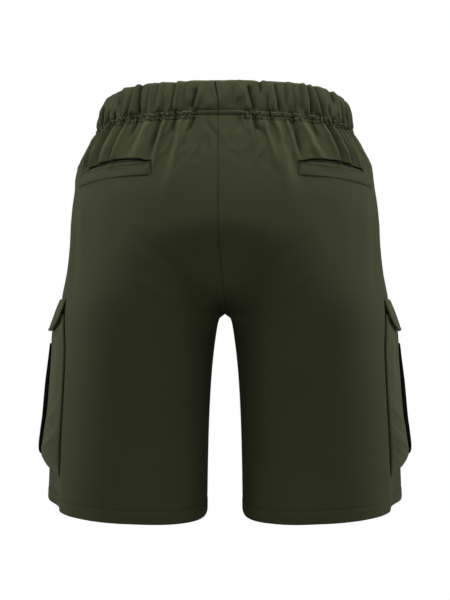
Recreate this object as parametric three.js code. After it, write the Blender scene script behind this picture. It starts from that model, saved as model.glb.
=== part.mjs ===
// A pair of olive cargo shorts: hollow, filled out as if worn, open at the waist and at both hems.
// Millimetres, +Z up. The front faces -Y and the wearer's left side is +X.
// The origin is the centre of the waist opening, half way up the elastic waistband.

import * as THREE from 'three';

// ---------- sizes that drive everything ----------

const CLOTH = 1.5; // thickness of a panel, a welt, a pocket or a flap
const BAND_THICKNESS = 3; // two layers of cloth round an elastic
const SEAM_GAP = 0.3; // clear space where two pieces meet

const SEAM_HEIGHT = -20; // nominal height of the seam under the waistband
const RISE = 222; // from that seam down to the crotch point
const LENGTH = 455; // from that seam down to the hems
const BAND_HEIGHT = 40.5;

const CENTRE_SEAM_SHIFT = 8; // the centre-back seam hangs a little towards the left

const LEFT = 1;
const RIGHT = -1;
const BACK = 1;
const FRONT = -1;

const OLIVE = 0x4d5038;
const OLIVE_POCKET = 0x555a3f;
const BLACK = 0x0b0c0c;

// Every place on the cloth is given by "drop", the distance below the waist seam, and "around": 0 at the
// side seam, +1 at the inner edge of the back panel, -1 at the inner edge of the front panel.
// "turn" is the same in degrees at the waist: 0 at the centre back, 90 at the side, 180 at the front.

// Sections of one half. side: from the centre plane to the outer side. back and front: the depth either
// side of the side seam. power: 2 is an ellipse, more is boxier.
const SECTIONS = [
  { drop: 0, side: 154, back: 101, front: 99, power: 2 },
  { drop: 23, side: 166.5, back: 108.5, front: 103, power: 2.1 },
  { drop: 53, side: 178.5, back: 118, front: 108, power: 2.2 },
  { drop: 82, side: 184, back: 125.5, front: 112, power: 2.3 },
  { drop: 111, side: 186.5, back: 131, front: 114, power: 2.3 },
  { drop: 140, side: 188, back: 134.5, front: 117, power: 2.3 },
  { drop: 170, side: 191.5, back: 136, front: 119, power: 2.3 },
  { drop: 199, side: 197, back: 134, front: 118, power: 2.3 },
  { drop: 222, side: 201, back: 128, front: 114, power: 2.3 },
  { drop: 265, side: 205, back: 113.5, front: 105, power: 2.3 },
  { drop: 325, side: 209.5, back: 103, front: 99, power: 2.3 },
  { drop: 385, side: 213, back: 97, front: 95, power: 2.3 },
  { drop: 455, side: 217, back: 93, front: 92, power: 2.3 },
];

// The open space between the legs is a rounded arch that goes on widening down to the hems.
const ARCH = { halfWidth: 6.8, height: 2.5 };
const LEG_SPREAD = { halfWidth: 15.5, height: 75 };

// The seams through the crotch: how far up the curved part reaches, and how full the curve is.
const CROTCH_CURVE = { back: 107, front: 95, fullness: 1.7, sharpness: 16, valleyRadius: 6 };

// Legs flow into the hips between these distances above and below the crotch point.
const HIP_BLEND = { above: 100, below: 70 };

// The waist is higher at the back than at the front, and the hems are lower at the back.
const WAIST_TILT = { all: -5.5, back: 13.9 };
const HEM_TILT = { all: 1, outer: 6.5, back: -10.5 };

// Gathers under the waistband, alike on both halves and at the front. depth: how far a ridge stands out.
const GATHERS = [
  { turn: 11, depth: 1.1, spread: 4.0, reach: 70, lean: 3 },
  { turn: 20, depth: 1.8, spread: 4.5, reach: 125, lean: 4 },
  { turn: 28, depth: -1.8, spread: 3.2, reach: 75, lean: 0 },
  { turn: 35, depth: 2.6, spread: 4.5, reach: 120, lean: 2 },
  { turn: 43, depth: -1.6, spread: 3.2, reach: 60, lean: 0 },
  { turn: 50, depth: 2.4, spread: 3.6, reach: 95, lean: -2 },
  { turn: 58, depth: 2.2, spread: 3.2, reach: 85, lean: -2 },
  { turn: 66, depth: 2.6, spread: 3.4, reach: 95, lean: -3 },
  { turn: 74, depth: 2.2, spread: 3.2, reach: 80, lean: -3 },
  { turn: 83, depth: 2.0, spread: 3.4, reach: 75, lean: -2 },
];

// Broad soft forms of a leg: the side caves in behind its seam at the hem and swells in front of it.
const LEG_FORMS = [
  { around: 0.12, drop: 460, out: -12, spread: 0.1, tall: 55 },
  { around: -0.17, drop: 440, out: 5, spread: 0.13, tall: 70 },
];

// The waistband's upright profile, from the seam to its top edge: it leans in towards the waist.
// It is tallest at the centre back.
const BAND_PROFILE = [
  { up: 0, out: 0 },
  { up: 5, out: 0.1 },
  { up: 18, out: 0 },
  { up: 31, out: -1.6 },
  { up: BAND_HEIGHT, out: -5.5 },
];
const BAND_LOWER = { share: 0.06, fromTurn: 6, toTurn: 42 };

// Puckers of the waistband, from the centre back: minus is towards the right. The front repeats them.
const PUCKERS = [
  { turn: -86, depth: 1.4, spread: 1.9, lean: 1 },
  { turn: -78, depth: 1.6, spread: 1.9, lean: -1 },
  { turn: -70, depth: 1.3, spread: 1.7, lean: 1 },
  { turn: -64, depth: 1.7, spread: 1.8, lean: 2 },
  { turn: -57, depth: 1.5, spread: 1.9, lean: 2 },
  { turn: -50, depth: 1.0, spread: 1.8, lean: -1 },
  { turn: -43, depth: 1.8, spread: 2.1, lean: -2 },
  { turn: -36, depth: 1.0, spread: 1.8, lean: 1 },
  { turn: -30, depth: 1.2, spread: 1.9, lean: -1 },
  { turn: -22.5, depth: 1.7, spread: 2.1, lean: -1 },
  { turn: -15.5, depth: 1.0, spread: 1.8, lean: 1 },
  { turn: -10, depth: 1.8, spread: 2.0, lean: 2 },
  { turn: 12, depth: 1.8, spread: 2.0, lean: -2 },
  { turn: 17.5, depth: 0.9, spread: 1.7, lean: -1 },
  { turn: 23.5, depth: 1.4, spread: 1.9, lean: 0 },
  { turn: 29.5, depth: 1.1, spread: 1.7, lean: 1 },
  { turn: 35.5, depth: 1.3, spread: 1.8, lean: -1 },
  { turn: 41, depth: 1.7, spread: 1.8, lean: -1 },
  { turn: 47, depth: 1.5, spread: 1.8, lean: 1 },
  { turn: 53, depth: 1.2, spread: 1.7, lean: 2 },
  { turn: 58.5, depth: 1.4, spread: 1.7, lean: 1 },
  { turn: 64.5, depth: 1.7, spread: 1.8, lean: -1 },
  { turn: 71, depth: 1.5, spread: 1.8, lean: 1 },
  { turn: 78.5, depth: 1.6, spread: 1.9, lean: 1 },
  { turn: 86, depth: 1.3, spread: 1.9, lean: -1 },
];
const BAND_COLUMNS = 150;

// Rows of the panels: closer together at the gathers, at the welts and at the crotch.
const PANEL_ROWS = [
  0, 16, 34, 52, 67, 90, 118, 146, 170, 190, 205, 215, 220, RISE,
  225, 232, 250, 278, 310, 342, 374, 404, 432, LENGTH,
];
const BACK_COLUMNS = 24;
const FRONT_COLUMNS = 20;

// Pocket pieces start and end on columns of the panels under them. The centre-back seam hangs to the
// left, so the right welt ends one column sooner, and both lie equally far from the middle.
const WELT = { fromColumn: 5, leftTo: 17, rightTo: 16, top: 52, bottom: 67, slant: 4, gape: 1.2 };
const POCKET = { backColumns: 5, frontColumns: 7, middle: -0.07, edgeWidth: 26, bottomEdge: 24 };
const POCKET_ROWS = [RISE, 232, 250, 259, 278, 294, 310, 326, 342, 358, 374, 391, 404, 412];
// The pocket is flatter under the strip than above and below it.
const POCKET_FULLNESS = [
  { drop: 222, stand: 1.2 },
  { drop: 243, stand: 4.2 },
  { drop: 262, stand: 3.9 },
  { drop: 280, stand: 3.4 },
  { drop: 305, stand: 3.5 },
  { drop: 330, stand: 3.8 },
  { drop: 350, stand: 5 },
  { drop: 368, stand: 7.5 },
  { drop: 387, stand: 10 },
  { drop: 412, stand: 10.5 },
];
const FLAP = { rows: [204, 212, 222, 232, 243], flare: 8.6, narrowing: 0.29 };
// The strip lies on columns and rows of the pocket, just behind the side.
const STRIP = { middle: 1 / BACK_COLUMNS, halfWidth: 1 / BACK_COLUMNS, columns: 4, crest: 2.9 };
const STRIP_ENDS = { top: 259, bottom: 391 };

// ---------- small helpers ----------

function mix(a, b, share) {
  return a + (b - a) * share;
}

function smoothstep(from, to, value) {
  const t = Math.min(1, Math.max(0, (value - from) / (to - from)));
  return t * t * (3 - 2 * t);
}

function bell(distance, spread) {
  return Math.exp(-((distance / spread) ** 2));
}

// Reads a column of a table at any place between its rows, along a smooth curve through them.
function readTable(rows, key, place, column) {
  let i = rows.findIndex((row) => row[key] > place) - 1;
  if (i < 0) {
    i = place < rows[0][key] ? 0 : rows.length - 2;
  }
  const slope = (k) => {
    const a = rows[Math.max(0, k - 1)];
    const b = rows[Math.min(rows.length - 1, k + 1)];
    return (b[column] - a[column]) / (b[key] - a[key]);
  };
  const step = rows[i + 1][key] - rows[i][key];
  const t = Math.min(1, Math.max(0, (place - rows[i][key]) / step));
  const start = (1 + 2 * t) * (1 - t) ** 2 * rows[i][column] + t * (1 - t) ** 2 * step * slope(i);
  const end = t * t * (3 - 2 * t) * rows[i + 1][column] + t * t * (t - 1) * step * slope(i + 1);
  return start + end;
}

// A rounded section's share of its half axis, from the cosine or sine of an angle.
function ovalShare(value, power) {
  return Math.sign(value) * Math.abs(value) ** (2 / power);
}

// ---------- the form of the cloth ----------

// The half width to which a space between the legs has opened at a drop.
function opened(space, drop) {
  return space.halfWidth * (1 - Math.exp(-Math.max(0, drop - RISE) / space.height));
}

// How far out the centre seam lies, as a share of the full depth: 0 at the crotch, 1 up on the seat.
function crotchCurve(drop, face) {
  const reach = face === BACK ? CROTCH_CURVE.back : CROTCH_CURVE.front;
  const share = Math.min(1, Math.max(0, (drop - RISE + reach) / reach));
  return (1 - share ** CROTCH_CURVE.fullness) ** (1 / CROTCH_CURVE.fullness);
}

function heightOf(drop, around) {
  const aboveCrotch = Math.max(0, 1 - drop / RISE);
  const belowCrotch = Math.max(0, (drop - RISE) / (LENGTH - RISE));
  const waist = WAIST_TILT.all + WAIST_TILT.back * Math.sin((Math.PI / 2) * around);
  const outer = HEM_TILT.outer * Math.cos(Math.PI * around);
  const hem = HEM_TILT.all + outer + HEM_TILT.back * Math.sin(Math.PI * around);
  return SEAM_HEIGHT - drop + waist * aboveCrotch + hem * belowCrotch;
}

// The smooth form of one half, with no gathers.
function formPoint(hand, drop, around) {
  const face = around < 0 ? FRONT : BACK;
  const inward = Math.abs(around);
  const side = readTable(SECTIONS, 'drop', drop, 'side');
  const depth = readTable(SECTIONS, 'drop', drop, face === BACK ? 'back' : 'front');

  const power = readTable(SECTIONS, 'drop', drop, 'power');

  const spread = opened(LEG_SPREAD, drop);
  const arch = opened(ARCH, drop) * smoothstep(0.7, 1, inward);
  const legAngle = Math.PI * inward;
  const legX = (side + spread) / 2 + ((side - spread) / 2) * ovalShare(Math.cos(legAngle), power) + arch;
  const legY = depth * ovalShare(Math.sin(legAngle), power);

  const hipAngle = legAngle / 2;
  const hipX = side * ovalShare(Math.cos(hipAngle), power);
  const hipY = depth * ovalShare(Math.sin(hipAngle), power);

  const seam = crotchCurve(drop, face);
  const hips = 1 - smoothstep(RISE - HIP_BLEND.above, RISE + HIP_BLEND.below, drop);
  const share = mix(hips, seam, inward ** CROTCH_CURVE.sharpness);
  const x = mix(legX, hipX, share);
  let y = mix(legY, hipY, share);

  // The two halves meet in a rounded valley between the legs.
  const radius = CROTCH_CURVE.valleyRadius * 4 * seam * (1 - seam);
  const past = y - seam * depth;
  if (radius > 0 && past > 0) {
    y -= radius * (1 - Math.exp(-past / radius)) * smoothstep(0.75, 0.97, inward);
  }

  const shift = CENTRE_SEAM_SHIFT * smoothstep(0.2, 1, around) * (1 - smoothstep(120, RISE, drop));
  return new THREE.Vector3(hand * x + shift, face * y, heightOf(drop, around));
}

function gatherDepth(drop, around) {
  const turn = 90 * (1 - around);
  let depth = 0;
  for (const fold of GATHERS) {
    const fade = Math.max(0, 1 - drop / fold.reach) ** 1.5;
    const place = fold.turn + (fold.lean * drop) / fold.reach;
    const both = bell(turn - place, fold.spread) + bell(180 - turn - place, fold.spread);
    depth += fold.depth * fade * both;
  }
  return depth;
}

function legFormDepth(drop, around) {
  let depth = 0;
  for (const form of LEG_FORMS) {
    depth += form.out * bell(around - form.around, form.spread) * bell(drop - form.drop, form.tall);
  }
  return depth;
}

// Follows the cloth past an inner edge: into the other half above the crotch, round the leg below it.
function acrossSeam(hand, drop, around) {
  if (Math.abs(around) <= 1) {
    return [hand, drop, around];
  }
  const edge = Math.sign(around);
  return drop < RISE ? [-hand, drop, 2 * edge - around] : [hand, drop, around - 2 * edge];
}

function normalOf(pointAt, hand, drop, around) {
  const stepDown = 0.6;
  const stepAround = 0.006;
  const at = (d, a) => pointAt(...acrossSeam(hand, Math.min(LENGTH, Math.max(0, drop + d)), around + a));
  const down = at(stepDown, 0).sub(at(-stepDown, 0));
  const along = at(0, stepAround).sub(at(0, -stepAround));
  return along.cross(down).multiplyScalar(-hand).normalize();
}

// The direction straight out of the smooth form, kept level.
function levelNormal(hand, drop, around) {
  return normalOf(formPoint, hand, drop, around).setZ(0).normalize();
}

// The outside of the cloth, with its gathers.
function clothPoint(hand, drop, around) {
  const point = formPoint(hand, drop, around);
  const depth = gatherDepth(drop, around) + legFormDepth(drop, around);
  if (Math.abs(depth) > 0.001) {
    point.addScaledVector(levelNormal(hand, drop, around), depth);
  }
  return point;
}

function clothNormal(hand, drop, around) {
  if (drop === RISE && Math.abs(around) === 1) {
    return new THREE.Vector3(0, 0, -1);
  }
  return normalOf(clothPoint, hand, drop, around);
}

// A point held off the cloth by a distance, inside it if that is negative.
function liftedPoint(hand, drop, around, distance) {
  return clothPoint(hand, drop, around).addScaledVector(clothNormal(hand, drop, around), distance);
}

// ---------- closed walls ----------

// Joins an outside and an inside grid of points, alike in rows and columns, into one closed body.
function closedWall(outside, inside) {
  const rows = outside.length;
  const columns = outside[0].length;
  const points = [...outside.flat(), ...inside.flat()];
  const index = [];
  const quad = (a, b, c, d) => {
    if (points[a].distanceTo(points[c]) < points[b].distanceTo(points[d])) {
      index.push(a, b, c, a, c, d);
    } else {
      index.push(a, b, d, b, c, d);
    }
  };
  const out = (r, c) => r * columns + c;
  const inn = (r, c) => rows * columns + r * columns + c;
  for (let r = 0; r < rows - 1; r += 1) {
    for (let c = 0; c < columns - 1; c += 1) {
      quad(out(r, c), out(r + 1, c), out(r + 1, c + 1), out(r, c + 1));
      quad(inn(r, c), inn(r, c + 1), inn(r + 1, c + 1), inn(r + 1, c));
    }
    quad(out(r, 0), inn(r, 0), inn(r + 1, 0), out(r + 1, 0));
    quad(out(r, columns - 1), out(r + 1, columns - 1), inn(r + 1, columns - 1), inn(r, columns - 1));
  }
  for (let c = 0; c < columns - 1; c += 1) {
    quad(out(0, c), out(0, c + 1), inn(0, c + 1), inn(0, c));
    quad(out(rows - 1, c), inn(rows - 1, c), inn(rows - 1, c + 1), out(rows - 1, c + 1));
  }
  if (enclosedVolume(points, index) < 0) {
    index.reverse();
  }
  const geometry = new THREE.BufferGeometry();
  const numbers = points.flatMap((point) => point.toArray());
  geometry.setAttribute('position', new THREE.Float32BufferAttribute(numbers, 3));
  geometry.setIndex(index);
  geometry.computeVertexNormals();
  return geometry;
}

function enclosedVolume(points, index) {
  let volume = 0;
  for (let i = 0; i < index.length; i += 3) {
    volume += points[index[i]].dot(points[index[i + 1]].clone().cross(points[index[i + 2]])) / 6;
  }
  return volume;
}

// A wall over a grid of places on the cloth, its outside standing off by outsideAt(drop, around).
function wallOverCloth(hand, places, outsideAt) {
  const grid = (inset) => places.map((row) => row.map(({ drop, around }) => (
    liftedPoint(hand, drop, around, outsideAt(drop, around) - inset)
  )));
  return closedWall(grid(0), grid(CLOTH));
}

function placesOf(drops, arounds) {
  return drops.map((drop) => arounds.map((around) => ({ drop, around })));
}

function evenSteps(from, to, count) {
  return Array.from({ length: count + 1 }, (_, i) => mix(from, to, i / count));
}

// ---------- the sewn pieces ----------

// Half a seam gap, from a panel's edge towards its own middle.
function seamTuck(hand, face, drop, column, columns) {
  const half = SEAM_GAP / 2;
  const tuck = new THREE.Vector3(0, 0, drop === 0 ? -half : 0);
  if (column === 0) {
    tuck.y = face * half;
  }
  if (column === columns) {
    tuck.x = drop <= RISE ? hand * half : 0;
    tuck.y = drop >= RISE ? face * half : 0;
  }
  return tuck;
}

function legPanel(hand, face) {
  const columns = face === BACK ? BACK_COLUMNS : FRONT_COLUMNS;
  const grid = (inset) => PANEL_ROWS.map((drop) => evenSteps(0, face, columns).map((around, column) => (
    liftedPoint(hand, drop, around, -inset).add(seamTuck(hand, face, drop, column, columns))
  )));
  return closedWall(grid(0), grid(CLOTH));
}

function puckerDepth(turn, up) {
  const fade = smoothstep(0, 8, up) * (1 - 0.45 * smoothstep(28, BAND_HEIGHT, up));
  let depth = 0;
  for (const fold of PUCKERS) {
    const back = fold.turn + fold.lean * (up / BAND_HEIGHT - 0.5);
    const front = back + (fold.turn < 0 ? -1 : 1) * 2 * (90 - Math.abs(fold.turn));
    for (const place of [back, front]) {
      depth += fold.depth * bell(turn - place, fold.spread);
    }
  }
  return depth * fade;
}

// One strip, joined at the centre back; turn runs from -180 to 180 with 0 at the centre back.
function bandPoint(turn, up, pucker, inset) {
  const hand = turn < 0 ? RIGHT : LEFT;
  const around = 1 - Math.abs(turn) / 90;
  const base = formPoint(hand, 0, around);
  const outward = levelNormal(hand, 0, around);
  const gather = gatherDepth(0, around) * Math.max(0, 1 - up / 16);
  const out = readTable(BAND_PROFILE, 'up', up, 'out') + gather - pucker - inset;
  base.addScaledVector(outward, out);
  const lower = BAND_LOWER.share * smoothstep(BAND_LOWER.fromTurn, BAND_LOWER.toTurn, Math.abs(turn));
  base.z += up * (1 - lower) + SEAM_GAP / 2;
  return base;
}

function waistband() {
  const ups = [0, 5, 18, 31, BAND_HEIGHT];
  const turns = evenSteps(0, 360, BAND_COLUMNS);
  const grid = (inset, pucker) => ups.map((up) => turns.map((turn, column) => {
    const signed = turn <= 180 ? turn : turn - 360;
    const point = bandPoint(signed, up, pucker * puckerDepth(signed, up), inset);
    if (column === 0) {
      point.x += SEAM_GAP / 2;
    }
    if (column === BAND_COLUMNS) {
      point.x -= SEAM_GAP / 2;
    }
    return point;
  }));
  return closedWall(grid(0, 1), grid(BAND_THICKNESS, 0));
}

// A slanting strip over the mouth of the seat pocket, standing off a little along its upper edge.
function backWelt(hand) {
  const toColumn = hand === LEFT ? WELT.leftTo : WELT.rightTo;
  const columns = toColumn - WELT.fromColumn;
  const outerEnd = WELT.fromColumn / BACK_COLUMNS;
  const innerEnd = toColumn / BACK_COLUMNS;
  const outward = (around) => (innerEnd - around) / (innerEnd - outerEnd);
  const places = evenSteps(WELT.top, WELT.bottom, 2).map((level) => (
    evenSteps(outerEnd, innerEnd, columns).map((around) => ({
      drop: level + WELT.slant * outward(around),
      around,
    }))
  ));
  return wallOverCloth(hand, places, (drop, around) => {
    const open = (WELT.bottom + WELT.slant * outward(around) - drop) / (WELT.bottom - WELT.top);
    return SEAM_GAP + CLOTH + WELT.gape * open * Math.sin(Math.PI * outward(around));
  });
}

function pocketArounds() {
  const back = evenSteps(POCKET.backColumns / BACK_COLUMNS, 0, POCKET.backColumns);
  const front = evenSteps(0, -POCKET.frontColumns / FRONT_COLUMNS, POCKET.frontColumns);
  return [...back, ...front.slice(1)];
}

// How far the pocket's outside stands off the leg: low at its sewn edges, full between them.
function pocketStand(drop, around) {
  const legRadius = 100;
  const arounds = pocketArounds();
  const rounded = (distance, width) => 1 - (1 - Math.min(1, Math.max(0, distance / width))) ** 2;
  const fromBack = (arounds[0] - around) * Math.PI * legRadius;
  const fromFront = (around - arounds[arounds.length - 1]) * Math.PI * legRadius;
  const fromBottom = POCKET_ROWS[POCKET_ROWS.length - 1] - drop;
  const edges = rounded(fromBack, POCKET.edgeWidth) * rounded(fromFront, POCKET.edgeWidth)
    * rounded(fromBottom, POCKET.bottomEdge);
  return SEAM_GAP + CLOTH + readTable(POCKET_FULLNESS, 'drop', drop, 'stand') * edges;
}

function cargoPocket(hand) {
  return wallOverCloth(hand, placesOf(POCKET_ROWS, pocketArounds()), pocketStand);
}

// The flap is sewn down along its top edge, stands off the pocket below and has rounded lower corners.
function pocketFlap(hand) {
  const top = FLAP.rows[0];
  const bottom = FLAP.rows[FLAP.rows.length - 1];
  const down = (drop) => (drop - top) / (bottom - top);
  const places = FLAP.rows.map((drop) => pocketArounds().map((around) => {
    const width = 1 - FLAP.narrowing * down(drop) ** 2.5;
    return { drop, around: mix(POCKET.middle, around, width) };
  }));
  return wallOverCloth(hand, places, (drop) => SEAM_GAP + CLOTH + FLAP.flare * down(drop));
}

// A narrow strip along the outer side of the pocket, which arches off it and is highest at its middle.
function pocketStrip(hand) {
  const drops = POCKET_ROWS.filter((drop) => drop >= STRIP_ENDS.top && drop <= STRIP_ENDS.bottom);
  const rear = STRIP.middle + STRIP.halfWidth;
  const arounds = evenSteps(rear, STRIP.middle - STRIP.halfWidth, STRIP.columns);
  return wallOverCloth(hand, placesOf(drops, arounds), (drop, around) => {
    const length = Math.sin((Math.PI * (drop - STRIP_ENDS.top)) / (STRIP_ENDS.bottom - STRIP_ENDS.top));
    const width = 1 - ((around - STRIP.middle) / STRIP.halfWidth) ** 2;
    const arch = STRIP.crest * Math.max(0, length) * Math.max(0, width);
    return pocketStand(drop, around) + SEAM_GAP + CLOTH + arch;
  });
}

// ---------- the garment ----------

function cloth(color, roughness) {
  return new THREE.MeshStandardMaterial({ color, roughness, metalness: 0 });
}

function piece(name, geometry, material) {
  const mesh = new THREE.Mesh(geometry, material);
  mesh.name = name;
  return mesh;
}

function buildShorts() {
  const shorts = new THREE.Group();
  shorts.add(piece('waistband', waistband(), cloth(OLIVE, 0.85)));
  for (const [hand, label] of [[LEFT, 'left'], [RIGHT, 'right']]) {
    shorts.add(piece(`back_${label}`, legPanel(hand, BACK), cloth(OLIVE, 0.85)));
    shorts.add(piece(`front_${label}`, legPanel(hand, FRONT), cloth(OLIVE, 0.85)));
    shorts.add(piece(`back_welt_${label}`, backWelt(hand), cloth(OLIVE, 0.85)));
    shorts.add(piece(`cargo_pocket_${label}`, cargoPocket(hand), cloth(OLIVE_POCKET, 0.85)));
    shorts.add(piece(`pocket_strip_${label}`, pocketStrip(hand), cloth(BLACK, 0.7)));
    shorts.add(piece(`pocket_flap_${label}`, pocketFlap(hand), cloth(OLIVE_POCKET, 0.85)));
  }
  return shorts;
}

export default buildShorts();
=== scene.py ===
# %% [markdown]
# # Olive cargo shorts, worn shape, seen from behind
# A pair of light twill shorts: a gathered elastic waistband, two back and two front leg panels,
# slanting welt pockets on the seat, and on each thigh a full pocket with a flap and a black strip.
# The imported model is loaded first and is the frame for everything: each piece of cloth made here
# stands for one of its solids, in the same place and at the same size, with finer folds and a finish.

# %% Load the frame
import math

import bpy
import numpy as np
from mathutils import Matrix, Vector


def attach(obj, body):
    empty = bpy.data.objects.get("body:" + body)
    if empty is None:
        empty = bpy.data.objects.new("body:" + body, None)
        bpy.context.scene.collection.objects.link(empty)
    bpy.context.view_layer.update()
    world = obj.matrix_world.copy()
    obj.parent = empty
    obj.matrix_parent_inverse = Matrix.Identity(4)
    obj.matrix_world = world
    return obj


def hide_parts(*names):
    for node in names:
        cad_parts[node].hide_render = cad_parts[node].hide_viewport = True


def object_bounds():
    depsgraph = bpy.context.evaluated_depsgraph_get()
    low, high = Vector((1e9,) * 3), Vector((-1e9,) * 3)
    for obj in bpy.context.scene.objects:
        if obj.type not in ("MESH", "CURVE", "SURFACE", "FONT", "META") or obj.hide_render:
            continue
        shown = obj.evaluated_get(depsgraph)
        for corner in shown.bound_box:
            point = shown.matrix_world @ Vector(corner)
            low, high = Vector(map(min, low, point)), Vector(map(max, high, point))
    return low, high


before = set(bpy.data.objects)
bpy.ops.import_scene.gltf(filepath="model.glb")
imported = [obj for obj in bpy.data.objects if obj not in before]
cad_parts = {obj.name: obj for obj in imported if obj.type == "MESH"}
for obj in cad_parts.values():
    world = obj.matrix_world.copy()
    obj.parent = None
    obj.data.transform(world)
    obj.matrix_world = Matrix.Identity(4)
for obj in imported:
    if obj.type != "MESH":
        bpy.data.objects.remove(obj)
cad_low, cad_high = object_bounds()
print("solids to dress:", len(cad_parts))
print("size in mm:", [round(1000 * x) for x in (cad_high - cad_low)])

# %% [markdown]
# ## Sizes
# The cloth is worked out in millimetres from the same few driving sizes as the solids.
# Every place on it has two addresses: "drop" is how far it lies below the waist seam, and "around" is
# 0 at the side seam, +1 at the inner edge of the back and -1 at the inner edge of the front.
# "Turn" says the same as around, but in degrees from the centre back: 90 is the side seam.
# Tables have named columns, so that a row reads like a note on a paper pattern.

# %% Driving sizes
MM = 0.001
SEAM_HEIGHT = -20
RISE = 222
LENGTH = 455
BAND_HEIGHT = 40.5
SEAM_GAP = 0.3
CENTRE_SEAM_SHIFT = 8
TWILL = 0.8  # thickness of one layer as it is shown here
BAND_LAYERS = 2.6
PLAY = SEAM_GAP + 1.5  # how far a piece sewn on top stands off the panel: a gap and a solid's wall

LEFT, RIGHT = 1, -1
BACK, FRONT = 1, -1
SIDES = {"left": LEFT, "right": RIGHT}


def table(columns, *rows):
    """Rows of numbers under named columns."""
    return {name: np.array(values, float) for name, values in zip(columns.split(), zip(*rows))}


def each_row(rows):
    """The rows of a table one by one, each as a tuple in the order of its columns."""
    return zip(*rows.values())


SECTIONS = table(
    "drop side back front power",
    (0, 154, 101, 99, 2),
    (23, 166.5, 108.5, 103, 2.1),
    (53, 178.5, 118, 108, 2.2),
    (82, 184, 125.5, 112, 2.3),
    (111, 186.5, 131, 114, 2.3),
    (140, 188, 134.5, 117, 2.3),
    (170, 191.5, 136, 119, 2.3),
    (199, 197, 134, 118, 2.3),
    (222, 201, 128, 114, 2.3),
    (265, 205, 113.5, 105, 2.3),
    (325, 209.5, 103, 99, 2.3),
    (385, 213, 97, 95, 2.3),
    (455, 217, 93, 92, 2.3),
)
print("garment from", SEAM_HEIGHT + BAND_HEIGHT, "down to", SEAM_HEIGHT - LENGTH, "mm")

# %% [markdown]
# ## Small tools for curves
# Cloth never changes direction at once, so every step from one value to another runs along a
# smooth curve. `smoothstep` eases between two levels, `window` eases up and down again, `bell` is a
# soft round bump, and `read_table` reads a table between its rows along a curve through them.

# %% Curves


def mix(a, b, share):
    return a + (b - a) * share


def smoothstep(start, end, value):
    t = np.clip((value - start) / (end - start), 0, 1)
    return t * t * (3 - 2 * t)


def window(value, start, full, fade, end):
    """Rises from 0 to 1 between start and full, and falls back to 0 between fade and end."""
    return smoothstep(start, full, value) * (1 - smoothstep(fade, end, value))


def bell(distance, spread):
    return np.exp(-((distance / spread) ** 2))


def read_table(rows, key, place, column):
    keys, values = rows[key], rows[column]
    after = np.append(np.arange(1, len(keys)), len(keys) - 1)
    before = np.append(0, np.arange(len(keys) - 1))
    slope = (values[after] - values[before]) / (keys[after] - keys[before])
    i = np.clip(np.searchsorted(keys, place, side="right") - 1, 0, len(keys) - 2)
    step = keys[i + 1] - keys[i]
    t = np.clip((place - keys[i]) / step, 0, 1)
    start = (1 + 2 * t) * (1 - t) ** 2 * values[i] + t * (1 - t) ** 2 * step * slope[i]
    end = t * t * (3 - 2 * t) * values[i + 1] + t * t * (t - 1) * step * slope[i + 1]
    return start + end


print("half width at the crotch:", round(float(read_table(SECTIONS, "drop", RISE, "side"))), "mm")

# %% [markdown]
# ## The form of a worn half
# Trousers are two tubes that grow together at the hips. Each half is described by rounded sections,
# stacked from the waist to the hem. Above the crotch a section reaches the centre seam; below it the
# section closes round the leg. The curved crotch seams mix the one into the other.
# Arrays are used for all of this: one call places tens of thousands of points at once.

# %% Form of the garment
CROTCH_REACH_BACK, CROTCH_REACH_FRONT = 107, 95
CROTCH_FULLNESS = 1.7
LEG_SPREAD, LEG_SPREAD_HEIGHT = 15.5, 75
ARCH_SPREAD, ARCH_HEIGHT = 6.8, 2.5
WAIST_LEVEL, WAIST_BACK_RISE, WAIST_HIP_RISE = -5.5, 13.9, 1.5
HEM_LEVEL, HEM_INNER_DROP, HEM_BACK_DROP = 1, 6.5, 10.5
SEAT_VALLEY = 6  # the radius of the valley between the two halves, where it is widest


def oval_share(value, power):
    """A rounded section's share of its half axis; power 2 is an ellipse and more is boxier."""
    return np.sign(value) * np.abs(value) ** (2 / power)


def opened(half_width, height, drop):
    """How far apart the legs stand below the crotch: nothing at it, and half_width well below it."""
    return half_width * (1 - np.exp(-np.maximum(0, drop - RISE) / height))


def crotch_curve(drop, back):
    """How far out the centre seam lies: 0 at the crotch point, 1 up on the seat."""
    reach = np.where(back, CROTCH_REACH_BACK, CROTCH_REACH_FRONT)
    share = np.clip((drop - RISE + reach) / reach, 0, 1)
    return (1 - share**CROTCH_FULLNESS) ** (1 / CROTCH_FULLNESS)


def height_of(drop, around):
    """The waist and the hem aren't level: the waist rises at the back and the hem falls there."""
    above = np.maximum(0, 1 - drop / RISE)
    below = np.maximum(0, (drop - RISE) / (LENGTH - RISE))
    waist_tilt = WAIST_LEVEL + WAIST_BACK_RISE * np.sin(math.pi / 2 * around)
    waist_tilt = waist_tilt + WAIST_HIP_RISE * bell(around - 0.5, 0.17)
    angle = math.pi * around
    hem_tilt = HEM_LEVEL + HEM_INNER_DROP * np.cos(angle) - HEM_BACK_DROP * np.sin(angle)
    return SEAM_HEIGHT - drop + waist_tilt * above + hem_tilt * below


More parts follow.
